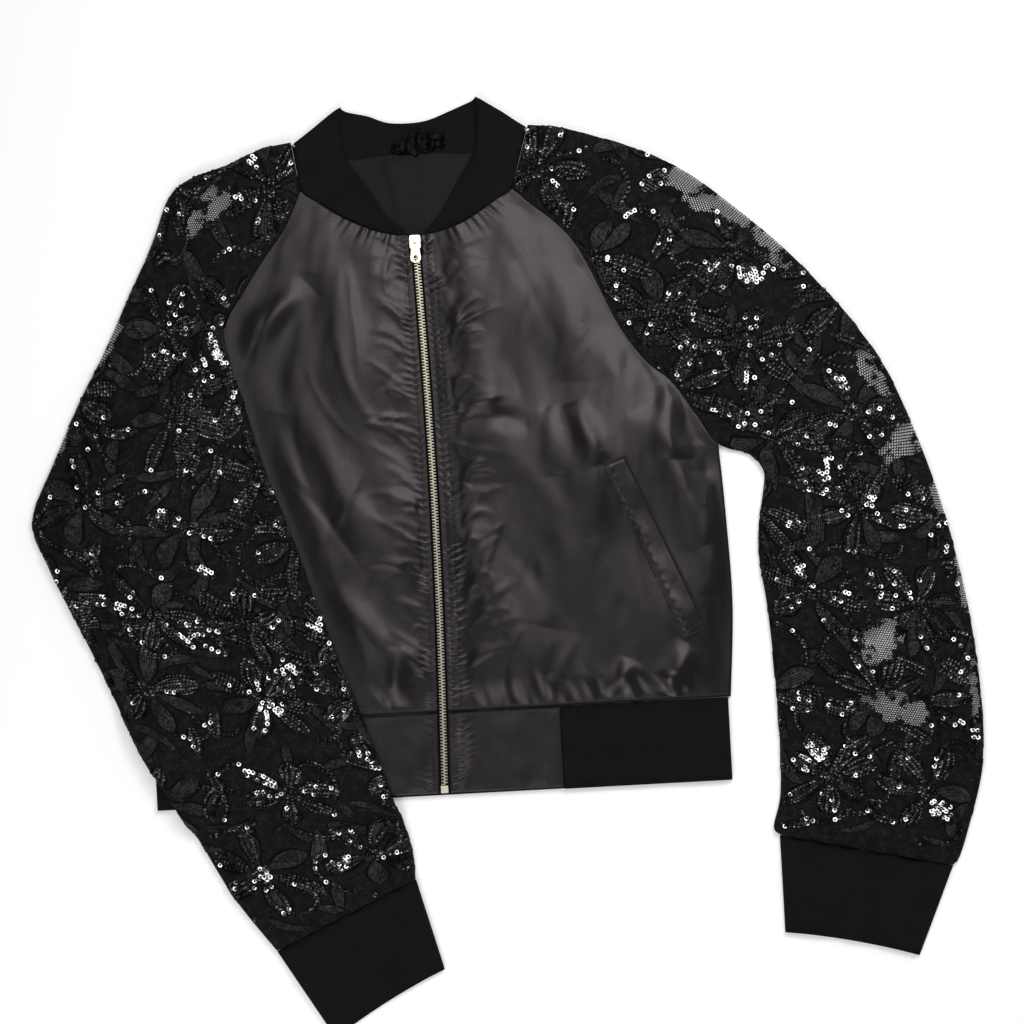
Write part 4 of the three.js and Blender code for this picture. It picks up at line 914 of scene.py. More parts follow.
def ribPiece(name, node, outer, inner, normal, run, around, sheet):
    back = ribDepth(run)
    if outer.ndim == 3:
        back = back.reshape((-1, 1, 1) if not around else (1, -1, 1))
    points, faces = shell(outer - normal * back, inner + normal * back * 0.5, around)
    share = shares(outer.shape[0] if around else outer.shape[1])
    uv = packed((run / 1000)[None, :], share[:, None] * sheet["flat"][1])
    uv = uv if around else uv.transpose(1, 0, 2)
    uv = np.concatenate([uv.reshape(-1, 2)] * 2)
    clothPiece(name, node, points, faces, ribKnit, "rib_knit", sheet, uv=uv)


# Collar: front ends on top, turned at the sides of the neck, its back on the table
collar = {"wall": 2.4, "across": 12, "turnRows": 9, "steps": 10,
          "sheet": {"flat": (0.5, 0.041), "held": "folded", "rests_on": ["backPanel"], "area": 0.0165}}


def collarStations():
    steps = collar["steps"]
    midTop, midLow = heights["collarFront"] - collar["wall"] / 2, collar["wall"] / 2
    radius, inset = (midTop - midLow) / 2, heights["collarFront"] / 2

    def flat(rows, z, up):
        return np.hstack([rows, np.tile([z, 0, 0, up], (len(rows), 1))])

    def turned(row, side):
        seam, free = row[:2], row[2:]
        out = side * np.array([free[1] - seam[1], seam[0] - free[0]]) / np.linalg.norm(free - seam)
        made = []
        for angle in np.linspace(0, pi, collar["turnRows"]):
            move = out * (radius * sin(angle) - inset)
            made.append([*(seam + move), *(free + move), midLow + radius * (1 + cos(angle)),
                         *(out * sin(angle)), cos(angle)])
        return np.array(made)

    left, right = smoothRows(collarLeftRows, steps), smoothRows(collarRightRows, steps)
    middle = smoothRows(collarBackRows, steps)[4:-4]
    keep = -1 - steps // 2
    return np.vstack([flat(left[:keep], midTop, 1), turned(left[-1], -1), flat(middle, midLow, -1),
                      turned(right[-1], 1)[::-1], flat(right[:keep][::-1], midTop, 1)])


def fineRows(run, rows):
    fineRun = np.linspace(0, run[-1], int(run[-1] / ribs["step"]))
    return fineRun, rowsAt(fineRun, run, rows)


rows = collarStations()
fineRun, rows = fineRows(runAlong((rows[:, :2] + rows[:, 2:4]) / 2), rows)
t = shares(collar["across"])[None, :, None]
mid = packed(*np.moveaxis(mix(rows[:, None, :2], rows[:, None, 2:4], t), -1, 0), rows[:, None, 4])
normal = unitOf(rows[:, None, 5:8])
rounded = np.sqrt(1 - np.clip((t - 0.86) / 0.15, 0, 1) ** 2 * 0.85)
half = normal * collar["wall"] / 2 * rounded * (1 + 0.16 * wander(mid[..., :1], mid[..., 1:2], 30, 71))
ribPiece("collar", "collar_rib", mid + half, mid - half, normal, fineRun, False, collar["sheet"])

# Rib hem: from the right satin panel round the back to the left one
hem = {"rows": 7, "sheet": {"flat": (0.765, 0.068), "held": "folded", "rests_on": ["floor"]}}
radius = heights["front"] / 2
flatEnd = body["hemSideX"] - radius
angles = np.linspace(pi / 2, -pi / 2, 17)
rightTurn = packed(flatEnd + radius * np.cos(angles), radius + radius * np.sin(angles))
start = body["satinHemEnd"] + body["seamGap"]
path = np.vstack([[start, heights["front"]], rightTurn, rightTurn[::-1] * [-1, 1],
                  [-start, heights["front"]]])
fineRun, path = fineRows(runAlong(path), path)
turn = unitOf(np.gradient(path, axis=0))
y = np.linspace(body["hemBottomY"], body["hemSeamY"] - body["seamGap"], hem["rows"])
outer = packed(path[:, None, 0], y[None], path[:, None, 1])
normal = packed(-turn[:, 1], 0, turn[:, 0])[:, None]
normal = normal * np.sign(normal[0, 0, 2])
outer = outer - normal * 0.3 * wander(outer[..., 0:1], outer[..., 1:2], 60, 31) * (normal[..., 2:] > 0.5)
ribPiece("hemRib", "hem_rib", outer, outer - normal * ribs["wall"], normal, fineRun, False, hem["sheet"])

# Cuffs: flattened tubes from the sleeve's end to their own free end, which bows in a little
cuffs = {"rows": 14, "wall": 1.8, "swell": 0.16, "topBow": 3.2, "underBow": 2.2,
         "left": {"end": (-7.9, -145.3, -100.2, -196.6), "flat": (0.235, 0.092)},
         "right": {"end": (272.1, -130.1, 381.1, -154.9), "flat": (0.25, 0.08)}}
for name, sections in (("left", leftSections), ("right", rightSections)):
    cuffEnd, first = np.array(cuffs[name]["end"]), sections[-1, :4]
    toEnd = (cuffEnd - first).reshape(2, 2).mean(0)
    reach = np.linalg.norm(toEnd)
    t = mix(body["seamGap"] / reach + 0.002, 1, shares(cuffs["rows"]))[:, None]
    corners = mix(first, cuffEnd, t)
    width = np.linalg.norm(corners[:, 2:] - corners[:, :2], axis=1)
    swell = 1 + cuffs["swell"] * np.sin(pi * t[:, 0])
    high = mix(heights["sleeve"], heights["cuff"], t[:, 0]) / 2 * swell
    count = int(2 * width.mean() / ribs["step"])
    turned = np.arange(count) / count
    arc = pi * high.mean() / (2 * width.mean())
    # Each quarter of a turn: across the top, round a fold, across the underside, round the other
    quarters = [0, 0.5 - arc, 0.5, 1 - arc, 1]
    angle = np.interp(turned, quarters, [pi / 2, pi / 2, -pi / 2, -pi / 2, -3 * pi / 2])
    flatShare = np.interp(turned, quarters, [0, 1, 1, 0, 0])
    along = high[:, None] + flatShare * (width - 2 * high)[:, None] + high[:, None] * np.cos(angle)
    unit = ((corners[:, 2:] - corners[:, :2]) / width[:, None])[:, None]
    bow = np.where(angle > 0, cuffs["topBow"], cuffs["underBow"]) * ease((t - 0.55) / 0.45)
    bow = bow * np.sin(pi * along / width[:, None])
    xy = corners[:, None, :2] + unit * along[..., None] - toEnd / reach * bow[..., None]
    outer = packed(xy[..., 0], xy[..., 1], high[:, None] * (1 + np.sin(angle)))
    normal = packed(*np.moveaxis(unit * np.cos(angle)[None, :, None], -1, 0), np.sin(angle)[None])
    dimple = 0.5 * wander(xy[..., :1], 0.5 * xy[..., 1:], 34, 81) * (normal[..., 2:] > 0.5)
    outer = outer - normal * dimple
    fineRun = turned * np.round(2 * width.mean() / ribs["pitch"]) * ribs["pitch"]
    sheet = {"flat": cuffs[name]["flat"], "held": "laid", "rests_on": ["floor"]}
    ribPiece(name + "Cuff", "cuff_" + name, outer, outer - normal * cuffs["wall"], normal, fineRun,
             True, sheet)
print("ribs")

# Satin ends of the hem, with small puckers beside the zip and along the seam
hemEnds = {"rows": 46, "columns": 70, "wall": 1.3, "foot": 1.5, "waves": (-0.6, 1.2),
           "sheet": {"flat": (0.097, 0.068), "held": "laid", "rests_on": ["hemRib"]}}
for side, name in sides:
    across, up = shares(hemEnds["columns"])[None], shares(hemEnds["rows"])[:, None]
    y = mix(body["hemBottomY"] + hemEnds["foot"], body["hemSeamY"] - body["seamGap"], up)
    x = mix(zipX(np.maximum(0, y)) + side * body["zipEdge"], side * body["satinHemEnd"], across)
    waves = 0.45 * wander(x, y * 0.4, 26, 41) + 0.3 * wander(x, y, 48, 42) + puckers(x, y)
    waves = np.clip(waves, *hemEnds["waves"]) * rimOf(across, 14) * rimOf(up, 9)
    grid = turnUnder(packed(x, y, heights["front"] + waves), hemEnds["wall"], 2)
    satinPiece("hemSatin" + name, "hem_satin_" + name.lower(), grid, hemEnds["sheet"])

# Pocket welts, lying on the fronts: puffed beside their stitches, with a groove at the opening and painted shadow
# along the opening and in the stitch dents
welts = {"rows": 136, "columns": 33, "thick": 1.1, "lift": 0.35, "wide": 21, "long": 160, "puffs": 19,
         "stitches": 62, "flat": (0.0225, 0.159),
         "corners": ((202.8, 113), (222.6, 122.6), (143.1, 260.8), (162.3, 267.1))}


def weltPlace(side, s, t):
    a, b, c, d = (np.array(corner) * [side, 1] for corner in welts["corners"])
    return mix(mix(a, b, s), mix(c, d, s), t)


for side, name in sides:
    s, t = shares(welts["columns"])[None], shares(welts["rows"])[:, None]
    x, y = np.moveaxis(weltPlace(side, s[..., None], t[..., None]), -1, 0)
    toOpening = np.minimum((1 - s) * welts["wide"], np.minimum(t, 1 - t) * welts["long"])
    toStitches = s * welts["wide"]
    under = frontHeight(x, y) + welts["lift"]
    rise = mix(0.4, 1, ease(toStitches / 5)) * mix(0.5, 1, ease(toOpening / 1.4))
    puffed = 0.3 * wander(x + y * 0.5, y, 27, 51) * ease(toStitches / 9)
    puffed += 0.22 * np.sin(2 * pi * t * welts["puffs"] + 3 * puffed) * bell(toStitches - 3.5, 2.6)
    groove = 0.95 * bell(toOpening - 2.1, 0.75) + 0.15 * bell(toStitches - 2.2, 0.7)
    z = under + (welts["thick"] + puffed) * rise - groove * rise
    # Painted shade: a dark line along the opening and dark dots at the stitches, carried by the shade attribute
    dentShade = np.clip(np.sin(2 * pi * t * welts["stitches"]), 0, 1) * bell(toStitches - 2.2, 0.8)
    slitShadow = np.clip(bell(toOpening - 1.7, 0.9) + 0.5 * dentShade, 0, 1)
    wallPiece("welt" + name, "welt_" + name.lower(), packed(x, y, z), packed(x, y, under), satin, "satin",
              {"flat": welts["flat"], "held": "laid", "rests_on": ["front" + name]},
              shade=np.tile(slitShadow.reshape(-1), 2))

# Crumpled blank tab at the back of the neck. Its edges are shares of the box's height along it
tab = {"box": (-15, 521, 29, 540), "rows": 26, "columns": 60, "wall": 0.8, "lift": 2.6,
       "low": ([0, 0.14, 0.3, 0.45, 0.55, 0.66, 0.85, 1],
               [0.22, 0.05, 0.14, -0.06, 0.2, 0.08, 0.3, 0.26]),
       "high": ([0, 0.1, 0.26, 0.34, 0.5, 0.58, 0.72, 0.95, 1],
                [0.5, 0.56, 0.62, 0.98, 1.06, 0.88, 0.96, 0.84, 0.9]),
       "sheet": {"flat": (0.046, 0.018), "held": "laid", "rests_on": ["neckLining", "collar"]}}
s, t = shares(tab["columns"])[None], shares(tab["rows"])[:, None]
x0, y0, x1, y1 = tab["box"]
x = mix(x0, x1, s)
y = mix(y0, y1, mix(np.interp(s, *tab["low"]), np.interp(s, *tab["high"]), t)) + 0.5 * np.sin(x * 0.9)
crumple = 0.9 * np.sin(x * 0.42) * np.cos(y * 0.2) + 0.8 * wander(x, y, 13, 61) + 0.3 * wander(x, y, 6, 62)
grid = packed(x, y, heights["liningTop"] + tab["lift"] + np.clip(crumple, -0.9, 1.9))
wallPiece("neckTab", "neck_tab", grid, grid - [0, 0, tab["wall"]], ribbon, "neck_tab", tab["sheet"])

# Zip tapes: narrow woven strips with a ridge beside the teeth
tapes = {"width": 13, "gap": 0.15, "wall": 0.9, "low": -1, "above": 0.6, "rows": 200, "columns": 12,
         "ridge": 0.12,
         "sheet": {"flat": (0.013, 0.4574), "held": "laid", "rests_on": ["neckLining", "backPanel"]}}
for side, name in sides:
    y = np.linspace(tapes["low"], body["zipTopY"] + tapes["above"], tapes["rows"])[:, None]
    off = np.linspace(tapes["gap"], tapes["width"], tapes["columns"])[None]
    z = heights["tapeTop"] + tapes["ridge"] * (bell(off - 4, 0.8) - 1) + 0.05 * np.sin(y * 0.9)
    grid = packed(zipX(y) + side * off, y, z)
    wallPiece("zipTape" + name, "zip_tape_" + name.lower(), grid, grid - [0, 0, tapes["wall"]], tapeCloth,
              "zip_tape", tapes["sheet"])

# Zip teeth: each grips its tape and ends in a rounded head that fits between two opposite ones.
# The outline shrinks about a place 1 mm from the zip's middle, at levels above the tooth's foot
teeth = {"pitch": 2.46, "low": 5.4, "first": 0.8, "high": 454.2, "last": 0.6, "bottom": 4.5,
         "levels": ((0, 0.86), (0.25, 1), (1.85, 1), (2.4, 0.55))}
outline = np.array([[2.7, -0.62], [1.2, -0.54], [0.5, -0.4], [-0.3, -0.64], [-0.7, -0.36],
                    [-0.7, 0.36], [-0.3, 0.64], [0.5, 0.4], [1.2, 0.54], [2.7, 0.62]])
ring = len(outline)
shape = np.vstack([np.column_stack([(outline - [1, 0]) * size + [1, 0], np.full(ring, z)])
                   for z, size in teeth["levels"]])
wallFaces = gridFaces(len(teeth["levels"]), ring, around=True)
caps = []
for low, turnOver in ((0, False), ((len(teeth["levels"]) - 1) * ring, True)):
    for k in range(ring // 2 - 1):
        quad = [low + k, low + ring - 1 - k, low + ring - 2 - k, low + k + 1]
        caps.append(quad[::-1] if turnOver else quad)
toothFaces = np.vstack([wallFaces, caps])
count = int((teeth["high"] - teeth["low"]) / teeth["pitch"])
y = teeth["low"] + teeth["first"] + teeth["pitch"] * np.arange(count)
centres, frames = [], []
for side in (-1, 1):
    at = y + (teeth["pitch"] / 2 if side > 0 else 0)
    at = at[at < teeth["high"] - teeth["last"]]
    centres.append(packed(zipX(at), at, teeth["bottom"]))
    frames.append(np.tile([[side, 0, 0], [0, side, 0], [0, 0, 1]], (len(at), 1, 1)))
points, faces = scatter(shape, toothFaces, np.vstack(centres), np.vstack(frames))
piece = makePiece("zipTeeth", points, outward(points, faces), brass, "zip_metal")
piece.data.shade_flat()
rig.replaces(piece, "zip_chain")

# The slider, box and pull tab keep their solids, with softened edges
metalEdges = {"zip_slider": 0.3, "zip_box": 0.5, "zip_pull_tab": 0.22}
for name, size in metalEdges.items():
    solid = frame["nodes"][name]
    bevel = solid.modifiers.new("edges", "BEVEL")
    bevel.width = size / 1000
    bevel.segments = 3
    bevel.limit_method = "ANGLE"
    bevel.harden_normals = True
    for slot in solid.material_slots:
        slot.link = "OBJECT"
        slot.material = brass
print("hem ends, welts, tab and zip")

# Sleeves. Each section runs from the underseam round the outer fold, over the top and under again
sleeves = {"radius": 3.05, "under": 34, "fold": 7, "over": 74, "tuck": 24, "gathers": 6,
           "gatherRise": 2.2, "gatherReach": 34, "sideMargin": 12, "footMargin": 4, "fall": 14,
           "left": {"flat": (0.36, 0.68), "area": 0.223, "held": "folded"},
           "right": {"flat": (0.35, 0.68), "area": 0.212, "held": "laid"}}


def bodyLift(x, y):
    beside = np.maximum(0, edgeX(leftEdge, y) - sleeves["sideMargin"] - x) / sleeves["fall"]
    below = np.maximum(0, body["hemBottomY"] - sleeves["footMargin"] - y) / (1.7 * sleeves["fall"])
    return heights["sleeveLift"] * (1 - ease(np.hypot(beside, below)))


def sleeveGrid(rows, lift):
    a, b = rows[:, None, :2], rows[:, None, 2:4]
    seam, wrap, lay, up, puff = rows[:, 4:, None].transpose(1, 0, 2)
    width = np.linalg.norm(b - a, axis=-1)
    unit = (b - a) / width[..., None]
    mid = (rows[:, :2] + rows[:, 2:4]) / 2
    toCuff = (runAlong(mid)[-1] - runAlong(mid))[:, None]
    radius = sleeves["radius"]

    def at(along):
        plan = a + unit * along[..., None]
        return plan[..., 0], plan[..., 1]

    def over(along):
        x, y = at(along)
        t = along / width
        rise = ease(t / 0.22) * ease((1 - t) / 0.22)
        rim = ease(along / 16) * ease((width - along) / 16)
        wave = 0.5 - 0.5 * np.cos(2 * pi * sleeves["gathers"] * t + 1.5 * wander(x, y, 120, 71))
        gather = sleeves["gatherRise"] * ease(1 - toCuff / sleeves["gatherReach"]) * wave
        small = 0.8 * wander(x, y, 46, 72) + 0.4 * wander(x, y, 20, 73)
        relief = (1.2 * foldHeight(sleeveFolds, x, y) + gather + small) * rim
        return up * lift(x, y) + heights["sleeve"] + puff * rise + relief

    turn = pi * np.minimum(1, 2 * wrap + 0.01)
    edgeA = body["seamGap"] / 2 + radius * np.sin(np.minimum(turn, pi / 2))
    edgeB = width - radius
    start = np.maximum(seam * width, np.where(turn > 2, edgeA + 0.4, 0)) + body["seamGap"] / 2

    def folded(edge, low, high, angle):
        rise = (high - low) / 2
        return edge + radius * np.cos(angle), low + rise * (1 + np.sin(angle))

    under = mix(start, edgeB, np.linspace(0, 1, sleeves["under"], endpoint=False))
    top = mix(edgeB, edgeA, shares(sleeves["over"] + 1)[1:-1])
    topA, underB = over(edgeA), lay * lift(*at(edgeB))
    underA = np.where(turn > 3, lift(*at(edgeA)), topA - 2 * radius)
    last = pi / 2 + turn
    hidden = np.maximum(0, 2 * wrap - 1) * np.maximum(0, seam * width - edgeA)
    move = np.maximum(hidden, 0.1) * shares(sleeves["tuck"] + 1)[1:]
    along, hanging = folded(edgeA, underA, topA, last)
    along, hanging = along - move * np.sin(last), hanging + move * np.cos(last)
    parts = [(under, lay * lift(*at(under))),
             folded(edgeB, underB, over(edgeB), pi * (shares(sleeves["fold"]) - 0.5)),
             (top, over(top)),
             folded(edgeA, underA, topA, pi / 2 + turn * shares(sleeves["fold"])),
             (along, np.where(hidden > 0, lift(*at(along)), hanging))]
    along, z = np.concatenate([packed(*part) for part in parts], 1).transpose(2, 0, 1)
    return packed(*at(along), z)


# Open windows in the lace: x, y, half length, half width, turn in degrees
windows = [
    [229, 482, 23, 13, -38], [262, 463, 22, 10, -42], [290, 432, 28, 10, -48], [367, 324, 20, 9, -60],
    [390, 266, 20, 12, 20], [417, 218, 13, 6, -80], [363, 103, 20, 15, 50], [374, 48, 30, 12, -15],
    [432, 150, 26, 4, -85], [437, 60, 30, 4, -88], [-162, 492, 17, 12, 40], [-176, 478, 14, 7, 60],
    [-255, 382, 24, 4, 60], [-300, 296, 20, 4, 62],
]
windowGrowth = (1.2, 1.25)


def windowAt(x, y):
    best = np.full(np.shape(x), -9.0)
    for wx, wy, length, width, turn in windows:
        c, s = cos(radians(turn)), sin(radians(turn))
        u, v = (x - wx) * c + (y - wy) * s, (y - wy) * c - (x - wx) * s
        away = np.hypot(u / (length * windowGrowth[0]), v / (width * windowGrowth[1]))
        best = np.maximum(best, 1 - away)
    return best


# Place and normal on a sleeve: s counts sections and arc is the distance round from the outer fold
class Sleeve:
    def __init__(self, rows, lift):
        self.grid = sleeveGrid(rows, lift)
        step = np.linalg.norm(np.diff(self.grid, axis=1), axis=-1)
        self.arc = np.hstack([np.zeros((len(rows), 1)), np.cumsum(step, axis=1)])
        outer = sleeves["under"] + sleeves["fold"] // 2
        self.arc -= self.arc[:, outer:outer + 1]
        normal = unitOf(np.cross(np.gradient(self.grid, axis=1), np.gradient(self.grid, axis=0)), 1e-9)
        middle = sleeves["under"] + sleeves["fold"] + sleeves["over"] // 2
        normal *= np.sign(normal[len(rows) // 2, middle, 2])
        self.both = np.concatenate([self.grid, normal], -1)
        self.run = runAlong(self.grid[:, middle])

    def at(self, s, arc):
        shape = np.shape(s)
        s, arc = np.ravel(s), np.ravel(arc)
        s = np.clip(s, 0, len(self.arc) - 1.001)
        row = s.astype(int)
        found = []
        for i in (row, row + 1):
            known = self.arc[i]
            k = np.clip((known < arc[:, None]).sum(1), 1, known.shape[1] - 1)
            pick = np.arange(len(k))
            t = np.clip((arc - known[pick, k - 1]) / (known[pick, k] - known[pick, k - 1] + 1e-9), 0, 1)
            found.append(mix(self.both[i, k - 1], self.both[i, k], t[:, None]))
        return mix(found[0], found[1], (s - row)[:, None]).reshape(*shape, 6)

    # A place u across and v along from a centre, both in millimetres on the cloth
    def near(self, s0, arc0, u, v):
        arc = arc0 + u
        spacing = np.linalg.norm((self.at(s0 + 1, arc) - self.at(s0 - 1, arc))[..., :3], axis=-1) / 2
        return s0 + v / np.maximum(spacing, 0.5), arc

    def inside(self, s, arc, margin):
        row = np.clip(np.ravel(s), 0, len(self.arc) - 1).astype(int)
        low, high = self.arc[row, 0] + margin, self.arc[row, -1] - margin
        fine = (np.ravel(arc) > low) & (np.ravel(arc) < high)
        fine &= (np.ravel(s) > 1) & (np.ravel(s) < len(self.arc) - 3)
        return fine.reshape(np.shape(s))


# Flowers, leaves and curls: s0, arc0, base u and v, direction, length, width, curl, sequin rows
lace = {"spacing": 88, "rowGap": 78, "stray": (7, 3), "petals": (6, 8), "petalLength": (30, 42),
        "petalWidth": (16, 21), "leafLength": (28, 44), "leafWidth": (10, 15), "leafPlace": (40, 50),
        "curlLength": (34, 52), "curlPlace": (34, 48), "curlWidth": 5.5, "grid": (12, 7), "crown": 0.8,
        "lowest": -0.4, "margin": 1, "inWindow": 0.16}
# Sequins. Those of a cluster and some single ones face halfway between the key lamp and the camera, and are also
# painted paler as a painted glint
sequins = {"pitch": 2.75, "radius": 1.95, "hole": 0.95, "cup": 0.12, "sides": 8, "lift": 1.3,
           "shingle": 0.14, "jitter": 0.055, "missing": 0.04, "missingUnder": 0.45, "cluster": 0.9,
           "clusterDull": 0.4, "single": 0.045, "aimJitter": 0.05, "flatten": 0.75, "margin": 3,
           "inWindow": 0.08, "steepest": 0.86}


def motifTable(cloth, seed):
    random = np.random.default_rng(seed)
    table = []
    wide, long = lace["stray"]

    def add(far, angle, turned, *rest):
        table.append([s, arc, far * cos(angle), far * sin(angle), angle + turned, *rest])

    for row, along in enumerate(np.arange(20, cloth.run[-1] - 4, lace["rowGap"])):
        s0 = np.interp(along, cloth.run, np.arange(len(cloth.run)))
        low, high = cloth.arc[int(s0), 0], cloth.arc[int(s0), -1]
        over, under = (max(1, round(abs(end) / lace["spacing"])) for end in (high, low))
        places = [*((np.arange(over + row % 2) + 0.5 - row % 2 / 2) / over * high),
                  *((np.arange(under) + 0.5 + row % 2 / 2) / under * low)]
        for arc0 in places:
            arc = arc0 + random.uniform(-wide, wide)
            s = s0 + random.uniform(-long, long)
            count = random.integers(*lace["petals"])
            turn = random.uniform(0, 2 * pi)
            for k in range(count):
                angle = turn + 2 * pi * (k + random.uniform(-0.12, 0.12)) / count
                add(6, angle, 0, random.uniform(*lace["petalLength"]), random.uniform(*lace["petalWidth"]),
                    random.uniform(-0.3, 0.3), random.choice([4, 4, 4, 2, 0]))
            for k in range(4):
                add(1.5, turn + 1.6 * k, 0, 9, 8, 0, 3)
            for k in range(6):
                angle = turn + 0.5 + 2 * pi * (k + random.uniform(-0.2, 0.2)) / 6
                add(random.uniform(*lace["leafPlace"]), angle, random.uniform(-0.9, 0.9),
                    random.uniform(*lace["leafLength"]), random.uniform(*lace["leafWidth"]),
                    random.uniform(-0.8, 0.8), random.choice([0, 0, 2]))
            for k in range(3):
                add(random.uniform(*lace["curlPlace"]), turn + 1.3 + 2 * pi * k / 3,
                    random.uniform(-0.6, 0.6), random.uniform(*lace["curlLength"]), lace["curlWidth"],
                    random.choice([-1.9, 1.9]), 1)
    return np.array(table)


# The middle line of a motif at share p along it, its direction there and its half width
def motifLine(table, p):
    angle = table[:, 4, None] + table[:, 7, None] * p
    u = table[:, 2, None] + table[:, 5, None] * p * np.cos(angle)
    v = table[:, 3, None] + table[:, 5, None] * p * np.sin(angle)
    heading = angle + table[:, 7, None] * p
    # Petals are widest beyond their middle, and leaves before it
    late = np.where(table[:, 6, None] > 15, 1.35, 0.8)
    half = table[:, 6, None] / 2 * (np.sin(pi * np.clip(p, 0, 1) ** late) ** 0.65 * 0.93 + 0.07)
    return u, v, heading, half


def embroider(cloth, table):
    rows, cols = lace["grid"]
    p, q = shares(rows)[None], np.linspace(-1, 1, cols)
    q = np.sign(q) * np.abs(q) ** 0.55
    u, v, heading, half = motifLine(table, p)
    u = u[..., None] - np.sin(heading)[..., None] * half[..., None] * q
    v = v[..., None] + np.cos(heading)[..., None] * half[..., None] * q
    s0, arc0 = table[:, 0, None, None] + 0 * u, table[:, 1, None, None] + 0 * u
    s, arc = cloth.near(s0, arc0, u, v)
    found = cloth.at(s, arc)
    profile = np.interp(np.abs(q), [0, 0.55, 0.8, 1], [0.8, 0.6, 0.95, 0])
    crown = 0.1 + lace["crown"] * profile * np.sqrt(half / 8)[..., None]
    points = found[..., :3] + found[..., 3:] * crown[..., None]
    points[..., 2] = np.maximum(points[..., 2], lace["lowest"])
    kept = cloth.inside(s, arc, lace["margin"]).reshape(-1)
    kept &= (windowAt(points[..., 0], points[..., 1]) < lace["inWindow"]).reshape(-1)
    faces = gridFaces(rows, cols)
    every = (faces[None] + (np.arange(len(table)) * rows * cols)[:, None, None]).reshape(-1, 4)
    every = every[kept[every].all(axis=1)]
    uv = np.broadcast_to(packed(p[..., None], q / 2 + 0.5), (*u.shape, 2))
    return points.reshape(-1, 3), every, uv.reshape(-1, 2)


# Lines of sequins on a motif, each with its place across and the least half width that it needs
sequinLines = {1: ((0, 0),), 2: ((-0.45, 3.5), (0.45, 3.5)), 3: ((-0.5, 3), (0.5, 3)),
               4: ((-0.72, 6), (-0.25, 3.2), (0.25, 3.2), (0.72, 6))}


def sequinSpots(table, seed):
    random = np.random.default_rng(seed)
    spots = []
    for kind, lines in sequinLines.items():
        part = table[table[:, 8] == kind]
        count = int(part[:, 5].max() / sequins["pitch"])
        p = (np.arange(count)[None] + 0.7) * sequins["pitch"] / part[:, 5, None]
        u, v, heading, half = motifLine(part, p)
        for q, least in lines:
            keep = (p < 0.94) & (half > least) & (random.random(p.shape) > sequins["missing"])
            spots.append(packed(part[:, 0, None], part[:, 1, None], u - np.sin(heading) * half * q,
                                v + np.cos(heading) * half * q, heading)[keep])
    return np.vstack(spots)


def sewSequins(cloth, table, seed):
    random = np.random.default_rng(seed)
    s0, arc0, u, v, heading = sequinSpots(table, seed).T
    s, arc = cloth.near(s0, arc0, u, v)
    ahead = cloth.near(s0, arc0, u + np.cos(heading), v + np.sin(heading))
    keep = cloth.inside(s, arc, sequins["margin"])
    keep &= (arc > -6) | (random.random(len(arc)) > sequins["missingUnder"])
    here, there = cloth.at(s, arc), cloth.at(*ahead)
    keep &= windowAt(here[:, 0], here[:, 1]) < sequins["inWindow"]
    keep &= np.abs(here[:, 5]) > sequins["steepest"]
    here, there = here[keep], there[keep]
    normal = here[:, 3:]
    line = unitOf(there[:, :3] - here[:, :3], 1e-9)
    count = len(here)
    field = wander(here[:, 0], here[:, 1], 58, seed + 3)
    luck = random.random(count)
    toKey = ((field > sequins["cluster"]) & (luck > sequins["clusterDull"])) | (luck < sequins["single"])
    tilt = normal + line * sequins["shingle"] + random.normal(0, sequins["jitter"], (count, 3))
    goals = (lamps["key"]["at"], (*view["middle"], view["height"]))
    aim = sum(unitOf(np.array(goal) - here[:, :3]) for goal in goals) / 2
    aim = aim + random.normal(0, sequins["aimJitter"], (count, 3))
    tilt = unitOf(np.where(toKey[:, None], aim, tilt))
    first = unitOf(line - tilt * (line * tilt).sum(1, keepdims=True), 1e-9)
    frames = np.stack([first, np.cross(tilt, first), tilt], 1)
    turns = np.linspace(0, 2 * pi, sequins["sides"], endpoint=False)
    shape = np.vstack([packed(np.cos(turns) * radius, np.sin(turns) * radius, z) for radius, z in
                       ((sequins["radius"], sequins["cup"]), (sequins["hole"], -sequins["cup"]))])
    faces = gridFaces(2, sequins["sides"], around=True)
    centres = here[:, :3] + normal * sequins["lift"]
    points, faces = scatter(shape, faces, centres, frames)
    cup = np.repeat(toKey, len(shape)) * np.tile(shape[:, 2], count)
    points -= sequins["flatten"] * cup[:, None] * np.repeat(tilt, len(shape), axis=0)
    points[:, 2] = np.maximum(points[:, 2], lace["lowest"])
    # A little random darkness for each sequin, plus a painted glint on those aimed at the key lamp
    tone = np.clip(0.25 * random.random(count) ** 3 + 0.75 * toKey, 0, 1)
    return points, faces, np.repeat(tone, len(shape))


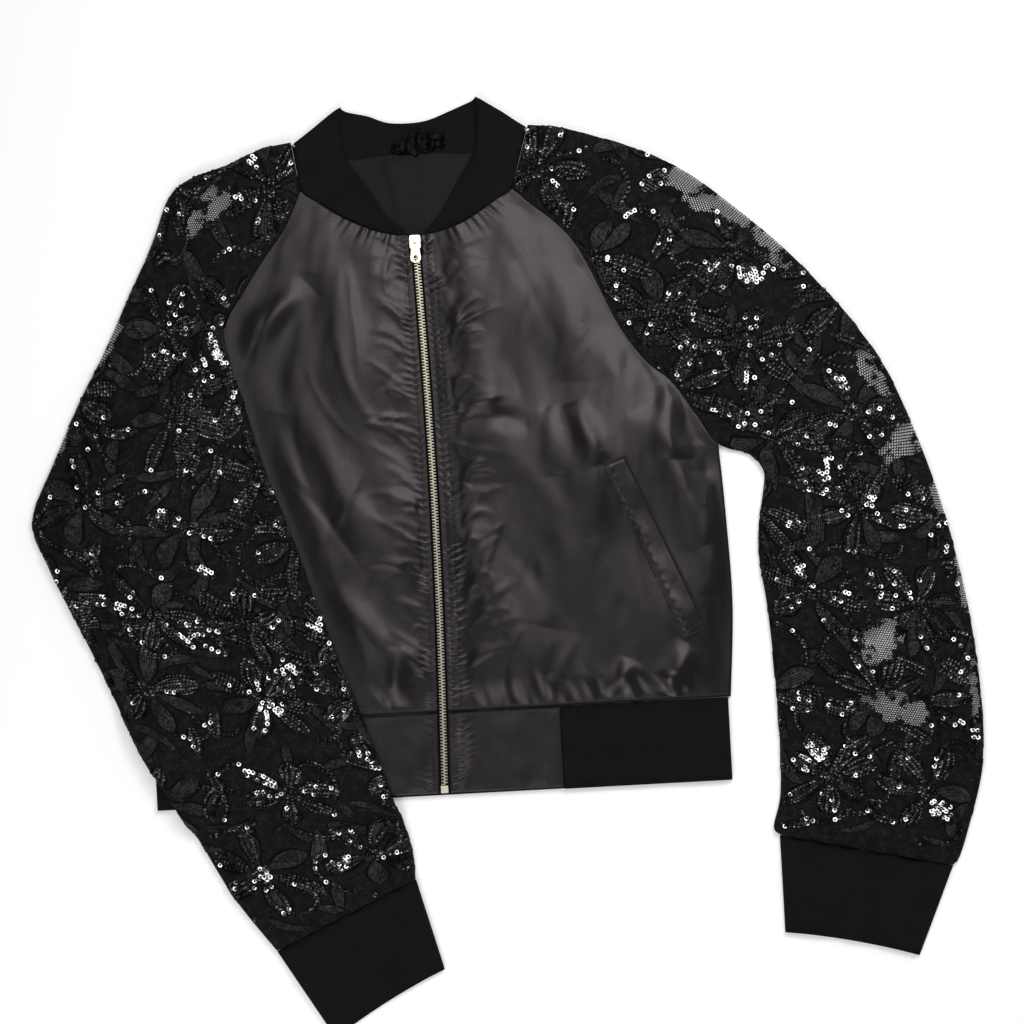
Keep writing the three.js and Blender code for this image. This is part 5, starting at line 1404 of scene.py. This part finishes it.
for name, rows, lift, seed in (("left", leftSections, bodyLift, 5),
                               ("right", rightSections, lambda x, y: 0 * x, 9)):
    cloth = Sleeve(rows, lift)
    grid = cloth.grid
    points = grid.reshape(-1, 3)
    faces = outward(points, gridFaces(*grid.shape[:2]))
    uv = packed(cloth.arc, cloth.run[:, None]) / 1000
    window = windowAt(grid[..., 0], grid[..., 1]) + 0.5
    title = name.capitalize()
    piece = makePiece("sleeve" + title, points, faces, netCloth, "sequin_net",
                      uv=uv.reshape(-1, 2), window=np.clip(window, -1, 1))
    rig.replaces(piece, "sleeve_" + name)
    table = motifTable(cloth, seed)
    points, faces, uv = embroider(cloth, table)
    flowers = makePiece("embroidery" + title, points, faces, embroidery, "sequin_net", uv=uv)
    points, faces, tone = sewSequins(cloth, table, seed)
    spangles = makePiece("sequins" + title, points, faces, sequinFoil, "sequin_net", tone=tone)
    spangles.data.shade_flat()
    print(title, "sleeve:", len(table), "motifs,", len(faces) // sequins["sides"], "sequins")
    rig.sheet(piece, flat=sleeves[name]["flat"], held=sleeves[name]["held"], area=sleeves[name]["area"],
             rests_on=["frontLeft", "floor"] if name == "left" else ["floor"],
             with_pieces=[flowers, spangles])

# Topstitches: short oval threads along a line, each lying in its dimple
stitches = {"length": 2.3, "gap": 1.0, "radius": 0.34, "sides": 5, "sink": 0.06, "onWelt": 0.45,
            "ends": ((-1, 0.35), (-0.6, 0.95), (0.6, 0.95), (1, 0.35))}


def stitchLine(path):
    run = runAlong(path)
    pace = stitches["length"] + stitches["gap"]
    at = np.arange(pace / 2, run[-1] - pace / 2, pace)
    first, last = (rowsAt(at + end * stitches["length"] / 2, run, path) for end in (-1, 1))
    return (first + last) / 2, last - first


lines = []
y = np.linspace(body["hemSeamY"] + 3, body["zipTopY"] - 3, 400)
low = np.linspace(body["hemBottomY"] + 4, body["hemSeamY"] - 3, 60)
for row in fronts["stitchRows"]:
    x = zipX(y) + row
    lines.append(stitchLine(packed(x, y, frontHeight(x, y))))
    x = zipX(np.maximum(0, low)) + row
    waves = np.clip(puckers(x, low), *hemEnds["waves"])
    lines.append(stitchLine(packed(x, low, heights["front"] + waves)))
for side, _ in sides:
    path = resample(np.array([weltPlace(side, 0.1, t) for t in (0.985, 0.02)]), shares(300))
    top = frontHeight(*path.T) + (welts["lift"] + stitches["onWelt"] * welts["thick"])
    lines.append(stitchLine(np.column_stack([path, top])))
centres, heading = (np.vstack(part) for part in zip(*lines))
heading = unitOf(heading)
sideways = unitOf(np.cross(heading, [0, 0, 1.0]))
frames = np.stack([heading, sideways, np.cross(heading, sideways)], 1)
turns = np.linspace(0, 2 * pi, stitches["sides"], endpoint=False)
shape = np.vstack([packed(x * stitches["length"] / 2, np.cos(turns) * size * stitches["radius"],
                          np.sin(turns) * size * stitches["radius"]) for x, size in stitches["ends"]])
points, faces = scatter(shape, gridFaces(len(stitches["ends"]), stitches["sides"], around=True),
                        centres - [0, 0, stitches["sink"]], frames)
makePiece("topstitches", points, outward(points, faces), threadYarn, "satin")
print("stitches:", len(centres))

low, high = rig.bounds()
json.dump({"cad": [list(corner) for corner in cadBox], "visual": [list(low), list(high)]},
          open("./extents.json", "w"))
